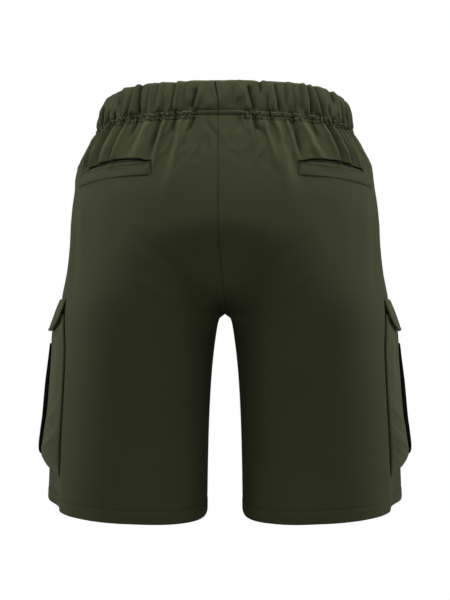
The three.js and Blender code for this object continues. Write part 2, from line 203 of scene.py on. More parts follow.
def form_point(hand, drop, around):
    """Points on the smooth form, with no folds."""
    drop, around = np.broadcast_arrays(np.asarray(drop, float), np.asarray(around, float))
    back = around >= 0
    inward = np.abs(around)
    side = read_table(SECTIONS, "drop", drop, "side")
    depths = [read_table(SECTIONS, "drop", drop, face) for face in ("back", "front")]
    depth = np.where(back, *depths)
    power = read_table(SECTIONS, "drop", drop, "power")

    spread = opened(LEG_SPREAD, LEG_SPREAD_HEIGHT, drop)
    arch = opened(ARCH_SPREAD, ARCH_HEIGHT, drop) * smoothstep(0.7, 1, inward)
    leg_angle = math.pi * inward
    leg_x = (side + spread) / 2 + (side - spread) / 2 * oval_share(np.cos(leg_angle), power) + arch
    leg_y = depth * oval_share(np.sin(leg_angle), power)
    hip_x = side * oval_share(np.cos(leg_angle / 2), power)
    hip_y = depth * oval_share(np.sin(leg_angle / 2), power)

    seam = crotch_curve(drop, back)
    hips = 1 - smoothstep(RISE - 100, RISE + 70, drop)
    share = mix(hips, seam, inward**16)
    x = mix(leg_x, hip_x, share)
    y = mix(leg_y, hip_y, share)

    # The two halves meet in a rounded valley between the legs.
    radius = SEAT_VALLEY * 4 * seam * (1 - seam)
    past = np.maximum(0, y - seam * depth)
    safe_radius = np.maximum(radius, 1e-6)
    eased = y - safe_radius * (1 - np.exp(-past / safe_radius)) * smoothstep(0.75, 0.97, inward)
    y = np.where((radius > 0) & (past > 0), eased, y)

    shift = CENTRE_SEAM_SHIFT * smoothstep(0.2, 1, around) * (1 - smoothstep(120, RISE, drop))
    return np.stack([hand * x + shift, np.where(back, 1, -1) * y, height_of(drop, around)], axis=-1)


def unit(vectors):
    length = np.linalg.norm(vectors, axis=-1, keepdims=True)
    return vectors / np.maximum(length, 1e-9)


def level_normal(hand, drop, around):
    """The direction straight out of the smooth form, kept level, so that folds never lift an edge."""
    face = np.where(np.asarray(around) < 0, -1, 1)
    step = 0.006
    # Beyond an inner edge the form goes on into the other half, or round the leg.
    inner = np.abs(around) + step > 1
    ahead = np.where(inner & (face > 0), around, around + step)
    behind = np.where(inner & (face < 0), around, around - step)
    along = form_point(hand, drop, ahead) - form_point(hand, drop, behind)
    up = np.zeros_like(along)
    up[..., 2] = 1
    outward = unit(np.cross(along, -up) * -hand)
    # On the seam itself above the crotch, both halves share the seam's own direction.
    edge = smoothstep(0.985, 1, np.abs(around)) * (np.asarray(drop) < RISE)
    straight = np.zeros_like(outward)
    straight[..., 1] = face
    return unit(outward * (1 - edge)[..., None] + straight * edge[..., None])


crotch = form_point(LEFT, RISE, 1.0)
print("crotch point in mm:", [round(float(v), 1) for v in crotch])

# %% [markdown]
# ## Folds below the waistband
# The elastic gathers the cloth, and the gathers run out downwards and towards the side, where each
# half turns away from the eye. Folds like these could come from a cloth simulation, but here every
# fold has its own place, so they are listed one by one. A row is one fold: where it starts and ends, how
# far it stands out, how wide it is, and how deep the trough beside it is, as a share of the ridge.
# A row with a minus depth is a valley, and has no trough. The trough lies on the side-seam side.

# %% Fold tables
FOLD_COLUMNS = "turn to_turn start end depth spread trough"
BACK_FOLDS = {
    LEFT: table(
        FOLD_COLUMNS,
        (7.5, 0.5, 8, 34, -0.5, 1.5, 0),
        (12.8, 14.5, 1, 24, -1.2, 1.0, 0),
        (15.6, 16.4, 3, 44, 0.9, 1.3, 0),
        (18.6, 17.6, 4, 100, 1.5, 1.9, 0.3),
        (21.7, 20.9, 1, 24, -1.3, 1.1, 0),
        (25.6, 25.9, 3, 70, 2.0, 1.3, 0.2),
        (29.1, 27.3, 1, 58, -1.5, 1.6, 0),
        (34.0, 34.0, 6, 58, 2.5, 2.4, 0.2),
        (40.6, 41.9, 1, 26, -1.4, 1.3, 0),
        (45.8, 45.8, 2, 62, 2.2, 1.4, 0),
        (49.2, 48.6, 1, 60, -2.8, 1.5, 0),
        (53.4, 53.0, 1, 60, 2.4, 1.6, 0.2),
        (58.0, 56.4, 1, 58, -3.0, 1.6, 0),
        (60.6, 60.8, 3, 62, 3.0, 1.3, 0.3),
        (64.0, 65.4, 1, 60, -3.4, 1.9, 0),
        (67.6, 69.4, 2, 66, 2.2, 1.4, 0.3),
        (72.0, 74.6, 1, 62, -2.4, 2.0, 0),
        (77.0, 80.0, 2, 60, 1.8, 1.7, 0),
        (83.0, 85.0, 2, 75, 1.8, 2.1, 0.2),
    ),
    RIGHT: table(
        FOLD_COLUMNS,
        (6.1, 5.0, 1, 16, -0.6, 1.0, 0),
        (9.8, 10.4, 2, 50, 1.0, 1.3, 0),
        (12.3, 12.3, 1, 22, -1.5, 1.1, 0),
        (16.3, 17.2, 3, 70, 1.6, 1.6, 0.2),
        (19.6, 19.4, 1, 22, -1.0, 1.1, 0),
        (22.0, 20.0, 4, 105, 1.6, 2.5, 0.2),
        (26.4, 25.6, 2, 66, 2.0, 1.3, 0.2),
        (30.4, 27.0, 1, 58, -1.5, 1.6, 0),
        (34.5, 36.5, 4, 58, 2.6, 2.5, 0.2),
        (40.5, 40.5, 1, 28, -1.1, 1.6, 0),
        (46.2, 46.4, 2, 60, 2.2, 1.4, 0),
        (49.4, 49.6, 1, 60, -2.8, 1.5, 0),
        (52.4, 53.6, 2, 60, 2.3, 1.4, 0.2),
        (55.6, 57.8, 1, 58, -3.0, 1.6, 0),
        (60.8, 62.4, 3, 64, 2.4, 1.4, 0.3),
        (65.6, 67.4, 1, 58, -3.3, 1.9, 0),
        (72.0, 76.0, 2, 70, 2.2, 2.0, 0.3),
        (78.5, 81.0, 1, 58, -1.9, 1.7, 0),
        (84.0, 86.0, 2, 70, 1.7, 2.1, 0.2),
    ),
}

# The hidden front is gathered in the same way and has folds of its own, turned here from its centre.
FRONT_FOLDS = {
    LEFT: table(
        FOLD_COLUMNS,
        (6.0, 7.5, 2, 60, 1.3, 2.2, 0.2),
        (12.5, 11.0, 1, 36, -1.8, 1.4, 0),
        (17.5, 16.0, 3, 85, 1.8, 2.4, 0.2),
        (24.0, 25.5, 2, 48, -2.0, 1.6, 0),
        (30.0, 31.5, 3, 72, 2.0, 2.1, 0.3),
        (37.0, 36.0, 1, 40, -1.6, 1.5, 0),
        (42.5, 44.0, 4, 90, 1.9, 2.5, 0.2),
        (50.5, 53.0, 2, 60, -2.2, 1.6, 0),
        (57.0, 60.5, 3, 80, 2.2, 2.0, 0.3),
        (64.5, 68.0, 1, 52, -2.2, 1.5, 0),
        (71.0, 74.5, 3, 76, 2.1, 1.9, 0.2),
        (79.0, 82.0, 2, 58, -1.6, 1.6, 0),
    ),
    RIGHT: table(
        FOLD_COLUMNS,
        (4.5, 5.0, 2, 44, -1.0, 1.5, 0),
        (9.5, 11.0, 3, 80, 1.6, 2.3, 0.2),
        (16.0, 15.0, 1, 42, -1.9, 1.4, 0),
        (21.5, 23.0, 3, 66, 1.9, 2.0, 0.3),
        (28.5, 27.0, 2, 52, -2.1, 1.6, 0),
        (34.0, 36.0, 4, 88, 1.9, 2.4, 0.2),
        (41.5, 43.0, 1, 46, -1.8, 1.5, 0),
        (47.0, 49.5, 3, 74, 2.1, 2.1, 0.3),
        (55.0, 58.0, 2, 58, -2.2, 1.6, 0),
        (61.5, 65.0, 3, 82, 2.2, 2.1, 0.2),
        (69.5, 73.0, 1, 54, -2.0, 1.5, 0),
        (76.5, 80.0, 3, 70, 1.9, 2.0, 0.2),
    ),
}


def ridge_profile(distance, trough):
    """A soft ridge, with a narrower trough beside it."""
    return bell(distance, 1) - trough * bell(distance - 1.7, 0.8)


def valley_profile(distance):
    """A narrow valley with a sharp bottom between swelling shoulders, as crisp cloth folds."""
    return np.exp(-((np.abs(distance) / 0.6) ** 1.15)) - 0.26 * bell(np.abs(distance) - 1.6, 0.8)


FOLD_STRENGTH = 2.6
# Shade is painted into the folds, up to its full amount in folds this deep and deeper.
DARKEST_FOLD = 2.3  # folds this deep and deeper are as dark as a fold gets


def body_turn(hand, around):
    """Degrees from the middle of the back. The seam hangs to the left of it, and takes the cloth along."""
    turn = 90 * (1 - around)
    shift = CENTRE_SEAM_SHIFT / SECTIONS["side"][0] * smoothstep(0.2, 1, around)
    return turn + hand * np.degrees(shift) / np.maximum(np.cos(np.radians(turn)), 0.5)


def fold_depth(hand, drop, around, shade=False):
    """How far the gathers push the cloth out at each place, or with shade, the painted shade and highlights
    of its folds.

    Real valleys are narrower and steeper than a grid can show, so shade is painted into them and a highlight
    onto the ridges.
    """
    total = np.zeros(np.broadcast(drop, around).shape)
    for rows, turn in (
        (BACK_FOLDS[hand], body_turn(hand, around)),
        (FRONT_FOLDS[hand], 90 * (1 + around)),
    ):
        for first, last, start, end, depth, spread, trough in each_row(rows):
            t = np.clip((drop - start) / (end - start), 0, 1)
            place = mix(first, last, t)
            # Stitched down at the top, strongest just below it, then running out and widening.
            strength = (0.5 + 0.5 * smoothstep(0, 9, drop - start + 4)) * (1 - smoothstep(0.5, 1, t))
            width = spread * (0.8 + 0.5 * t)
            away = (turn - place) / width
            valley = depth < 0
            if shade:
                line = np.exp(-((np.abs(away) / 0.65) ** 1.6)) if valley else -0.75 * bell(away, 0.6)
                total = total + min(1, abs(depth) / DARKEST_FOLD) * strength * line
                continue
            shape = valley_profile(away) if valley else ridge_profile(away, trough)
            total = total + FOLD_STRENGTH * depth * strength * shape
    return total


sample = fold_depth(LEFT, np.full(200, 25.0), np.linspace(-1, 1, 200))
print("gathers 25 mm below the seam, from", round(sample.min(), 1), "to", round(sample.max(), 1), "mm")

# %% [markdown]
# ## Broad, soft forms of the legs
# Between the gathers and the hem the cloth hangs almost smooth. It has only broad swells and long
# soft drag lines: the side caves in behind the thigh pocket, faint lines run from the crotch up to
# the seat and down the inner thigh, and the hem waves a little. Each row is a long, soft ridge or
# hollow, laid from one place to another.

# %% Soft forms
FORM_COLUMNS = "around to_around start end depth spread"
BACK_FORMS = {
    LEFT: table(
        FORM_COLUMNS,
        (0.24, 0.20, 395, 462, 1.6, 0.03),
        (0.97, 0.62, 205, 118, -1.4, 0.05),
        (0.90, 0.52, 232, 165, 0.9, 0.05),
        (0.78, 0.70, 250, 430, -1.3, 0.07),
        (0.45, 0.42, 240, 440, 1.3, 0.09),
        (0.30, 0.34, 82, 190, 1.8, 0.05),
        (0.20, 0.26, 95, 215, -1.4, 0.035),
        (0.13, 0.16, 75, 205, 1.5, 0.04),
        (0.62, 0.56, 95, 150, -0.9, 0.07),
        (0.60, 0.66, 425, 470, 1.2, 0.06),
        (0.36, 0.33, 430, 470, -0.9, 0.05),
    ),
    RIGHT: table(
        FORM_COLUMNS,
        (0.24, 0.20, 390, 462, 1.6, 0.03),
        (0.97, 0.66, 208, 124, -1.4, 0.05),
        (0.90, 0.56, 238, 160, 0.8, 0.05),
        (0.80, 0.73, 255, 425, -1.2, 0.07),
        (0.48, 0.43, 250, 430, 1.2, 0.09),
        (0.31, 0.36, 80, 200, 1.7, 0.05),
        (0.21, 0.28, 92, 220, -1.4, 0.035),
        (0.12, 0.15, 78, 200, 1.5, 0.04),
        (0.60, 0.53, 92, 146, -0.9, 0.07),
        (0.55, 0.62, 428, 470, 1.2, 0.06),
        (0.72, 0.70, 430, 470, -0.9, 0.05),
    ),
}
FRONT_FORMS = {
    LEFT: table(
        FORM_COLUMNS,
        (-0.96, -0.60, 210, 140, -1.5, 0.05),
        (-0.90, -0.50, 235, 185, 1.0, 0.05),
        (-0.80, -0.72, 255, 430, -1.2, 0.07),
        (-0.55, -0.52, 120, 430, 1.6, 0.08),
        (-0.38, -0.42, 180, 420, -1.1, 0.06),
        (-0.64, -0.60, 430, 470, 1.1, 0.06),
    ),
    RIGHT: table(
        FORM_COLUMNS,
        (-0.96, -0.64, 206, 132, -1.5, 0.05),
        (-0.90, -0.54, 238, 178, 1.0, 0.05),
        (-0.78, -0.74, 250, 440, -1.2, 0.07),
        (-0.52, -0.50, 130, 420, 1.6, 0.08),
        (-0.40, -0.36, 170, 430, -1.1, 0.06),
        (-0.68, -0.62, 432, 470, 1.1, 0.06),
    ),
}

# The side caves in behind its seam at the hem and swells in front of it.
LEG_FORMS = table(
    "around drop out spread tall",
    (0.12, 460, -12, 0.10, 55),
    (-0.17, 440, 5, 0.13, 70),
)


def soft_form_depth(hand, drop, around):
    """How far the broad forms push the cloth out or draw it in at each place."""
    total = np.zeros(np.broadcast(drop, around).shape)
    for centre, middle, out, spread, tall in each_row(LEG_FORMS):
        total = total + out * bell(around - centre, spread) * bell(drop - middle, tall)
    for rows in (BACK_FORMS[hand], FRONT_FORMS[hand]):
        for first, last, start, end, depth, spread in each_row(rows):
            t = (drop - start) / (end - start)
            place = mix(first, last, np.clip(t, 0, 1))
            total = total + depth * window(t, -0.15, 0.35, 0.65, 1.15) * bell(around - place, spread)
    return total


print("soft forms on a back panel:", len(BACK_FORMS[LEFT]["around"]))

# %% [markdown]
# ## From points to cloth
# A sheet of cloth is a grid of points: rows run down the garment and columns run round it. Thin
# cloth still needs two sides, or its edges look like paper, so an inside grid is laid behind the
# outside one and both are joined along their rims into one closed shell.
# The mesh gets a UV map measured in millimetres of cloth, so that the weave has its true size
# everywhere. Each point also carries three values for the finish: "seam" is 1 along the sewn edges,
# the painted shading value is 1 where shade is painted deep in a crack and below 0 where a highlight
# is painted on a ridge, and "beads" is 1 on the gathered row beside the waist seam.

# %% Grids and shells


def spaced(*stretches):
    """Places from a first value on, in stretches (end, step) that each have their own step."""
    places = [float(stretches[0])]
    for end, step in stretches[1:]:
        count = max(1, round(abs(end - places[-1]) / step))
        places.extend(np.linspace(places[-1], end, count + 1)[1:])
    return np.array(places)


def run_along(points):
    """The length of cloth along each row, from its first column."""
    steps = np.linalg.norm(np.diff(points, axis=1), axis=-1)
    return np.concatenate([np.zeros((len(points), 1)), np.cumsum(steps, axis=1)], axis=1)


def grid_normals(points, outward):
    """The direction straight out of a grid of points, on the same side as outward."""
    down = np.gradient(points, axis=0)
    along = np.gradient(points, axis=1)
    normals = unit(np.cross(along, down))
    facing = np.sum(normals * outward, axis=-1, keepdims=True)
    return normals * np.where(np.median(facing) < 0, -1, 1)


def shell_faces(rows, columns):
    """The quads of a closed shell: outside, inside, and the four rims between them."""
    layer = rows * columns
    index = np.arange(layer).reshape(rows, columns)

    def strip(a, b, c, d):
        return np.stack([a.ravel(), b.ravel(), c.ravel(), d.ravel()], axis=1)

    out = strip(index[:-1, :-1], index[1:, :-1], index[1:, 1:], index[:-1, 1:])
    first, last = index[:, 0], index[:, -1]
    top, bottom = index[0, :], index[-1, :]
    return np.concatenate([
        out,
        out[:, ::-1] + layer,
        strip(first[:-1], first[:-1] + layer, first[1:] + layer, first[1:]),
        strip(last[:-1], last[1:], last[1:] + layer, last[:-1] + layer),
        strip(top[:-1], top[1:], top[1:] + layer, top[:-1] + layer),
        strip(bottom[:-1], bottom[:-1] + layer, bottom[1:] + layer, bottom[1:]),
    ])


def new_mesh(name, points_mm, faces):
    """A mesh from points in millimetres and an array of quads."""
    mesh = bpy.data.meshes.new(name)
    mesh.from_pydata((points_mm * MM).tolist(), [], faces.tolist())
    mesh.polygons.foreach_set("use_smooth", np.ones(len(mesh.polygons), bool))
    piece = bpy.data.objects.new(name, mesh)
    bpy.context.scene.collection.objects.link(piece)
    return piece


def turn_outward(points, faces):
    """Flips the quads if the shell they enclose is inside out."""
    a, b, c, d = (points[faces[:, i]] for i in range(4))
    volume = np.sum(a * np.cross(b, c)) + np.sum(a * np.cross(c, d))
    return faces[:, ::-1] if volume < 0 else faces


SHARP_RIM = math.radians(55)
SEAM_REACH = 2.5
# The painted shading runs from a painted highlight below 0 to the darkest painted shade at 1.
MOST_PAINTED_LIGHT, MOST_PAINTED_SHADE = -0.8, 1  # the range of "crease"


def add_flat_map(mesh, name, across, down):
    """Lays the grid flat: a place in millimetres for each point, the same on the outside and the inside."""
    flat = np.tile(np.stack([across, down], axis=-1).reshape(-1, 2), (2, 1))
    corners = np.zeros(len(mesh.loops), np.int32)
    mesh.loops.foreach_get("vertex_index", corners)
    layer = mesh.uv_layers.new(name=name)
    layer.data.foreach_set("uv", flat[corners].astype(np.float32).ravel())


def cloth_shell(name, outside, inside, seam_distance, painted_shading=None, beads=None, round_waist=None):
    """One closed shell from an outside and an inside grid.

    The fifth argument holds the painted shading: 1 where shade is painted deep in a crack, 0 on flat
    cloth and below 0 where a highlight is painted on a ridge; beads is 1 along a gathered seam, and
    round_waist holds how far round and how far from the seam each point lies, in millimetres.
    """
    rows, columns = outside.shape[:2]
    points = np.concatenate([outside.reshape(-1, 3), inside.reshape(-1, 3)])
    faces = turn_outward(points, shell_faces(rows, columns))
    piece = new_mesh(name, points, faces)
    mesh = piece.data
    mesh.set_sharp_from_angle(angle=SHARP_RIM)

    # Laid flat: across is the length of cloth along a row, down is the length along a column.
    across = run_along(outside)
    across = across - across[:, columns // 2 : columns // 2 + 1]
    down = run_along(outside.transpose(1, 0, 2)).transpose(1, 0)
    add_flat_map(mesh, "Flat cut", across, -down)
    if round_waist is not None:
        add_flat_map(mesh, "Round the waist", *round_waist)

    seam = np.exp(-np.maximum(seam_distance, 0) / SEAM_REACH)
    painted_shading = np.zeros_like(seam) if painted_shading is None else np.clip(painted_shading, MOST_PAINTED_LIGHT, MOST_PAINTED_SHADE)
    beads = np.zeros_like(seam) if beads is None else np.clip(beads, 0, 1)
    for label, values in (("seam", seam), ("painted_shading", painted_shading), ("beads", beads)):
        attribute = mesh.attributes.new(label, "FLOAT", "POINT")
        attribute.data.foreach_set("value", np.tile(values.ravel(), 2).astype(np.float32))
    return piece


def area_of(grid):
    """The area of a grid of points, in square metres."""
    a = grid[1:, :-1] - grid[:-1, :-1]
    b = grid[:-1, 1:] - grid[:-1, :-1]
    return float(np.linalg.norm(np.cross(a, b), axis=-1).sum()) * MM * MM


def clothed(piece, nodes):
    """The piece stands for its solids, which it hides, and rides with the garment."""
    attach(piece, "root")
    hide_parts(*nodes)
    return piece


print("rows between 0 and 10 in steps of 2:", spaced(0, (10, 2)))

# %% [markdown]
# ## The leg panels
# Each panel is one cut of twill. Along its sewn edges the cloth rolls in towards the seam, because
# the allowance is pressed open behind it, and that is what draws the dark line of a seam. The hem is
# turned up 15 mm and stitched, so it is a little thicker there, with a shallow groove at the stitches.
# Where the thigh pocket is sewn on, its edge presses a narrow groove into the panel. Painted shade is
# added in this groove, along the inner and waist seams and under the flap.

# %% Panel details
HEM_DEPTH = 15
POCKET_BACK_EDGE = 5 / 24
POCKET_FRONT_EDGE = -7 / 20
POCKET_TOP, POCKET_BOTTOM = 222, 412
WELT_INNER, WELT_OUTER = {LEFT: 17 / 24, RIGHT: 16 / 24}, 5 / 24
WELT_TOP, WELT_BOTTOM, WELT_SLANT = 52, 67, 4
MOUTH_OPENING = 5.2
LIP_OUT, SLOT_IN, UNDER_IN = 1.3, 3.2, 0.9
INNER_SEAM_SINK, SIDE_SEAM_SINK, SEAM_SINK_WIDTH = 0.9, 0.7, 1.5
HEM_GROOVE, HEM_GROOVE_WIDTH, HEM_FULLNESS = 0.55, 0.9, 0.35
CRACK_DEPTH = 2.4
WELT_END_SINK = 0.9
AROUND_MM = math.pi * 100  # a step of 1 in "around" on a leg 100 mm in radius
FLAP_TOP, FLAP_BOTTOM = 204, 243


def back_edge(drop):
    """Where the back edge of the thigh pocket runs: it bows a little towards the back."""
    upper = -0.022 * (1 - smoothstep(POCKET_TOP - 10, POCKET_TOP + 45, drop))
    return POCKET_BACK_EDGE + upper + 0.006 * bell(drop - 320, 50)


def welt_share(hand, around):
    """0 at the inner end of the welt and 1 at its outer end."""
    return (WELT_INNER[hand] - around) / (WELT_INNER[hand] - WELT_OUTER)


def welt_end_place(level):
    """Where the upright inner end of the welt stands; level is 0 at its lower edge and 1 at its fold."""
    return 0.025 + 0.009 * (1 - np.clip(level, 0, 1))


def welt_end(hand, drop, around):
    """1 on the panel along the inner end of the welt, where it is stitched down."""
    level = (WELT_BOTTOM - drop) / (WELT_BOTTOM - WELT_TOP)
    beside = (around - WELT_INNER[hand] - welt_end_place(level)) * AROUND_MM
    return bell(beside - 0.4, 0.9) * window(level, -0.05, 0.02, 1.0, 1.08)


def mouth_line(hand, around):
    """The drop of the lip above the seat pocket: it arches up from the welt between its ends."""
    share = welt_share(hand, around)
    arch = np.sin(math.pi * np.clip(share + 0.04, 0, 1)) ** 0.7 * smoothstep(-0.01, 0.09, share)
    lifted = 1.6 * (1 - smoothstep(0.2, 0.9, share))
    return WELT_TOP + WELT_SLANT * share - MOUTH_OPENING * arch - lifted


def mouth_depth(hand, drop, around):
    """The lip of the pocket mouth stands out, and the cloth below it sinks behind the welt."""
    share = welt_share(hand, around)
    inside = window(share, -0.06, -0.02, 0.86, 0.98)
    below = drop - mouth_line(hand, around)
    lip = LIP_OUT * np.exp(np.minimum(below, 0) / 9) * (1 - smoothstep(-0.9, -0.1, below))
    slot = -SLOT_IN * window(below, -0.7, 0.2, 1.6, 9)
    under = -UNDER_IN * window(below, 0, 3, 12, 22)
    return inside * (lip + slot + under)


def groove(distance, depth, width):
    """A round-bottomed groove, so many millimetres deep and wide to each side of its middle."""
    return -depth * bell(distance, width)


def past_pocket(face, drop, around):
    """Millimetres on a panel past the thigh pocket's edge; less than nothing under the pocket."""
    edge = back_edge(drop) if face == BACK else -POCKET_FRONT_EDGE
    return (np.abs(around) - edge) * AROUND_MM


def pocket_crack(face, drop, around):
    """1 in the narrow crack along the thigh pocket's side and bottom edges, 0 away from them."""
    beside = past_pocket(face, drop, around)
    height = window(drop, POCKET_TOP - 16, POCKET_TOP - 6, POCKET_BOTTOM - 5, POCKET_BOTTOM + 2)
    under = smoothstep(-3, 0, -beside) * bell(drop - POCKET_BOTTOM - 0.5, 0.8)
    return np.maximum(height * bell(beside - 0.4, 0.5), under)


def panel_details(hand, face, drop, around, from_side, from_inner):
    """Rolled edges, hem and grooves of one leg panel."""
    depth = groove(from_inner, INNER_SEAM_SINK, SEAM_SINK_WIDTH)
    depth = depth + groove(from_side, SIDE_SEAM_SINK, SEAM_SINK_WIDTH)
    depth = depth + 0.22 * bell(from_inner - 7, 4) + 0.2 * bell(from_side - 7, 4)

    up = LENGTH - drop
    wave = np.sin(from_side / 5.3) * np.sin(from_side / 13.1 + hand)
    depth = depth + groove(up - HEM_DEPTH - 0.25 * wave, HEM_GROOVE, HEM_GROOVE_WIDTH)
    depth = depth + HEM_FULLNESS * smoothstep(HEM_DEPTH, HEM_DEPTH - 3, up)
    depth = depth + 0.12 * wave * bell(up - HEM_DEPTH, 5)
    depth = depth - 0.5 * bell(up, 0.8)

    depth = depth - CRACK_DEPTH * pocket_crack(face, drop, around)
    covered = smoothstep(0, -3, past_pocket(face, drop, around))
    depth = depth + covered * groove(drop - FLAP_TOP + 0.8, 0.9, 0.9)

    if face == BACK:
        depth = depth + mouth_depth(hand, drop, around) - WELT_END_SINK * welt_end(hand, drop, around)
    return depth


PANEL_DROPS = spaced(0, (5, 0.7), (40, 1.6), (58, 0.62), (80, 1.5), (RISE, 4), (432, 5), (450, 1.3),
                     (LENGTH, 0.8))
BACK_AROUNDS = spaced(0, (0.02, 0.004), (0.182, 0.008), (0.222, 0.0016), (0.97, 0.0038), (1, 0.003))
FRONT_AROUNDS = spaced(0, (-0.02, 0.005), (-0.335, 0.009), (-0.365, 0.003), (-0.97, 0.0075), (-1, 0.004))
print("back panel grid:", len(PANEL_DROPS), "x", len(BACK_AROUNDS), "front:", len(FRONT_AROUNDS))
print("mouth lip lies between", [round(float(mouth_line(LEFT, place)), 1) for place in (0.45, 0.7)])

# %% [markdown]
# ## Fine puckers and crisp creases
# Where gathered cloth is sewn flat, the needle pins hundreds of tiny pleats. They are too many to place
# by hand, so they are scattered with a fixed seed, and the same ones cross the seam: they cut the roll
# of cloth on each side of it into beads, and run a few millimetres up the band and down the panels.
# At the centre back the cloth lies smooth. All the random numbers come from the one seed, in order.
# Light, tightly woven cloth also crumples in small flat facets with crisp edges between them. Waves in
# many directions are added up, and folding their sum where it crosses zero gives such edges.

# %% Puckers of the waist seam
SMOOTH_FROM, SMOOTH_TO = 7, 12
random = np.random.default_rng(7)
PUCKER_COUNT = 250
pucker_turn = (np.arange(PUCKER_COUNT) + random.uniform(-0.35, 0.35, PUCKER_COUNT)) * 360 / PUCKER_COUNT
pucker_depth = random.uniform(0.35, 1.0, PUCKER_COUNT)
pucker_spread = random.uniform(0.28, 0.45, PUCKER_COUNT)
pucker_reach = random.uniform(2.0, 7.0, PUCKER_COUNT)
PUCKER_SINK = 0.6
BEAD_HEIGHT = 1.2


def away_round(turn, place):
    """Degrees between two places once round the waist, 0 to 180."""
    return np.abs((turn - place + 180) % 360 - 180)


def gathered(turn):
    """0 at the centre back, where the cloth is sewn on smooth, and 1 where it is gathered."""
    return smoothstep(SMOOTH_FROM, SMOOTH_TO, away_round(turn, 0))


def bead_row(turn, distance, roll):
    """1 on the row of beads beside the waist seam."""
    return gathered(turn) * (1 - smoothstep(roll - 0.9, roll + 0.5, distance))


def seam_puckers(turn, distance, roll, plain):
    """The beaded roll of cloth beside the waist seam, and the tiny pleats that run out from it.

    turn runs once round from the centre back, plus to the left; roll is the width of the bead row
    and plain is how much of the roll stays where the cloth isn't gathered.
    """
    shape = np.broadcast(turn, distance).shape
    sink, cut = np.zeros(shape), np.zeros(shape)
    for place, depth, spread, reach in zip(pucker_turn, pucker_depth, pucker_spread, pucker_reach):
        away = away_round(turn, place)
        near = away < 4 * spread
        if not near.any():
            continue
        notch = depth * bell(away[near], spread)
        sink[near] += notch * bell(np.maximum(distance[near] - roll * 0.6, 0), reach)
        cut[near] = np.maximum(cut[near], notch)
    full = gathered(turn)
    # Where it is gathered, the roll is already high at the seam; where it is plain, it starts from nothing.
    rise = np.sin(math.pi * np.clip((distance + 2 * full) / (roll + 2 * full), 0, 1)) ** 0.8
    bead = BEAD_HEIGHT * rise * mix(plain, 1, full)
    return bead * (1 - 0.5 * cut * full) - PUCKER_SINK * sink * full


# %% Crisp small creases
CRUMPLE_WAVES = 26
wave_length = random.uniform(13, 42, CRUMPLE_WAVES)
wave_lean = random.uniform(-0.95, 0.95, CRUMPLE_WAVES)
wave_start = random.uniform(0, 2 * math.pi, CRUMPLE_WAVES)


def crumple(along, down):
    """Small flat facets with crisp edges between them, from -0.5 to 0.5; along and down in millimetres."""
    total = np.zeros(np.broadcast(along, down).shape)
    for length, lean, start in zip(wave_length, wave_lean, wave_start):
        phase = 2 * math.pi / length * (along * math.cos(lean) + down * math.sin(lean) * 0.7) + start
        total = total + np.sin(phase)
    total = total / math.sqrt(CRUMPLE_WAVES)
    return 0.5 - np.minimum(np.abs(total), 1)


def turn_of(hand, around):
    """Degrees once round the waist, plus to the wearer's left."""
    return hand * 90 * (1 - around)


print("tiny pleats round the waist seam:", PUCKER_COUNT)

# %% Cut the four leg panels
TUCK = SEAM_GAP / 2
PANEL_BEAD = 4.6
WAIST_MM_A_DEGREE = 2.6
CRUMPLE_FADE = table("drop depth", (0, 0.8), (30, 1.1), (48, 0.8), (72, 0.2), (110, 0.06), (LENGTH, 0.04))
grids = {}


def crumple_depth(drop):
    """The cloth is crisp and lively under the waistband and hangs smooth on the legs."""
    return read_table(CRUMPLE_FADE, "drop", drop, "depth")


def panel_surface(hand, face):
    """The outside of one panel, the way out of it, and the distances from its edges."""
    arounds = BACK_AROUNDS if face == BACK else FRONT_AROUNDS
    drop, around = np.meshgrid(PANEL_DROPS, arounds, indexing="ij")
    base = form_point(hand, drop, around)
    outward = level_normal(hand, drop, around)
    from_side = run_along(base)
    from_inner = from_side[:, -1:] - from_side
    depth = fold_depth(hand, drop, around) + soft_form_depth(hand, drop, around)
    depth = depth + panel_details(hand, face, drop, around, from_side, from_inner)
    top = PANEL_DROPS < 22
    turn = turn_of(hand, around)
    depth[top] += seam_puckers(turn[top], drop[top], PANEL_BEAD, 0.15)
    crisp = crumple_depth(drop) * crumple(turn * WAIST_MM_A_DEGREE, drop)
    depth = depth + crisp * smoothstep(0, 6, from_inner)
    outside = base + outward * depth[..., None]
    outside[0, :, 2] -= TUCK
    outside[:, 0, 1] += face * TUCK
    outside[:, -1, 1] += np.where(PANEL_DROPS > RISE, face * TUCK, 0)
    outside[:, -1, 0] -= np.where(PANEL_DROPS <= RISE, hand * TUCK, 0)
    return outside, outward, from_side, from_inner, drop, around


def panel_painted_shading(hand, face, drop, around, from_inner):
    """The painted shading of a panel: painted shade in the cracks at the pockets, along the sewn edges, in
    the pocket mouth, at the welt ends and under the flap, and painted shade and highlights in the folds of
    the waist.
    """
    painted_shading = np.maximum(pocket_crack(face, drop, around), 0.55 * bell(from_inner, 0.9))
    painted_shading = np.maximum(painted_shading, 0.2 * bell(drop, 0.8))
    # Painted shadow on the panel under the flap.
    under_flap_shadow = window(drop, FLAP_TOP, FLAP_TOP + 4, FLAP_BOTTOM - 15, FLAP_BOTTOM - 9)
    painted_shading = np.maximum(painted_shading, 0.9 * under_flap_shadow * (past_pocket(face, drop, around) < 0))
    if face == BACK:
        # Painted shade in the mouth of the seat pocket and along the welt's inner end.
        below = drop - mouth_line(hand, around)
        share = welt_share(hand, around)
        inside = window(share, -0.06, -0.02, 0.9, 0.99)
        painted_shading = np.maximum(painted_shading, inside * window(below, -0.6, 0.3, 3, 12))
        painted_shading = np.maximum(painted_shading, 0.8 * welt_end(hand, drop, around))
    top = drop[:, 0] < 90
    painted_shading[top] += fold_depth(hand, drop[top], around[top], shade=True) * smoothstep(3, 6.5, drop[top])
    return painted_shading


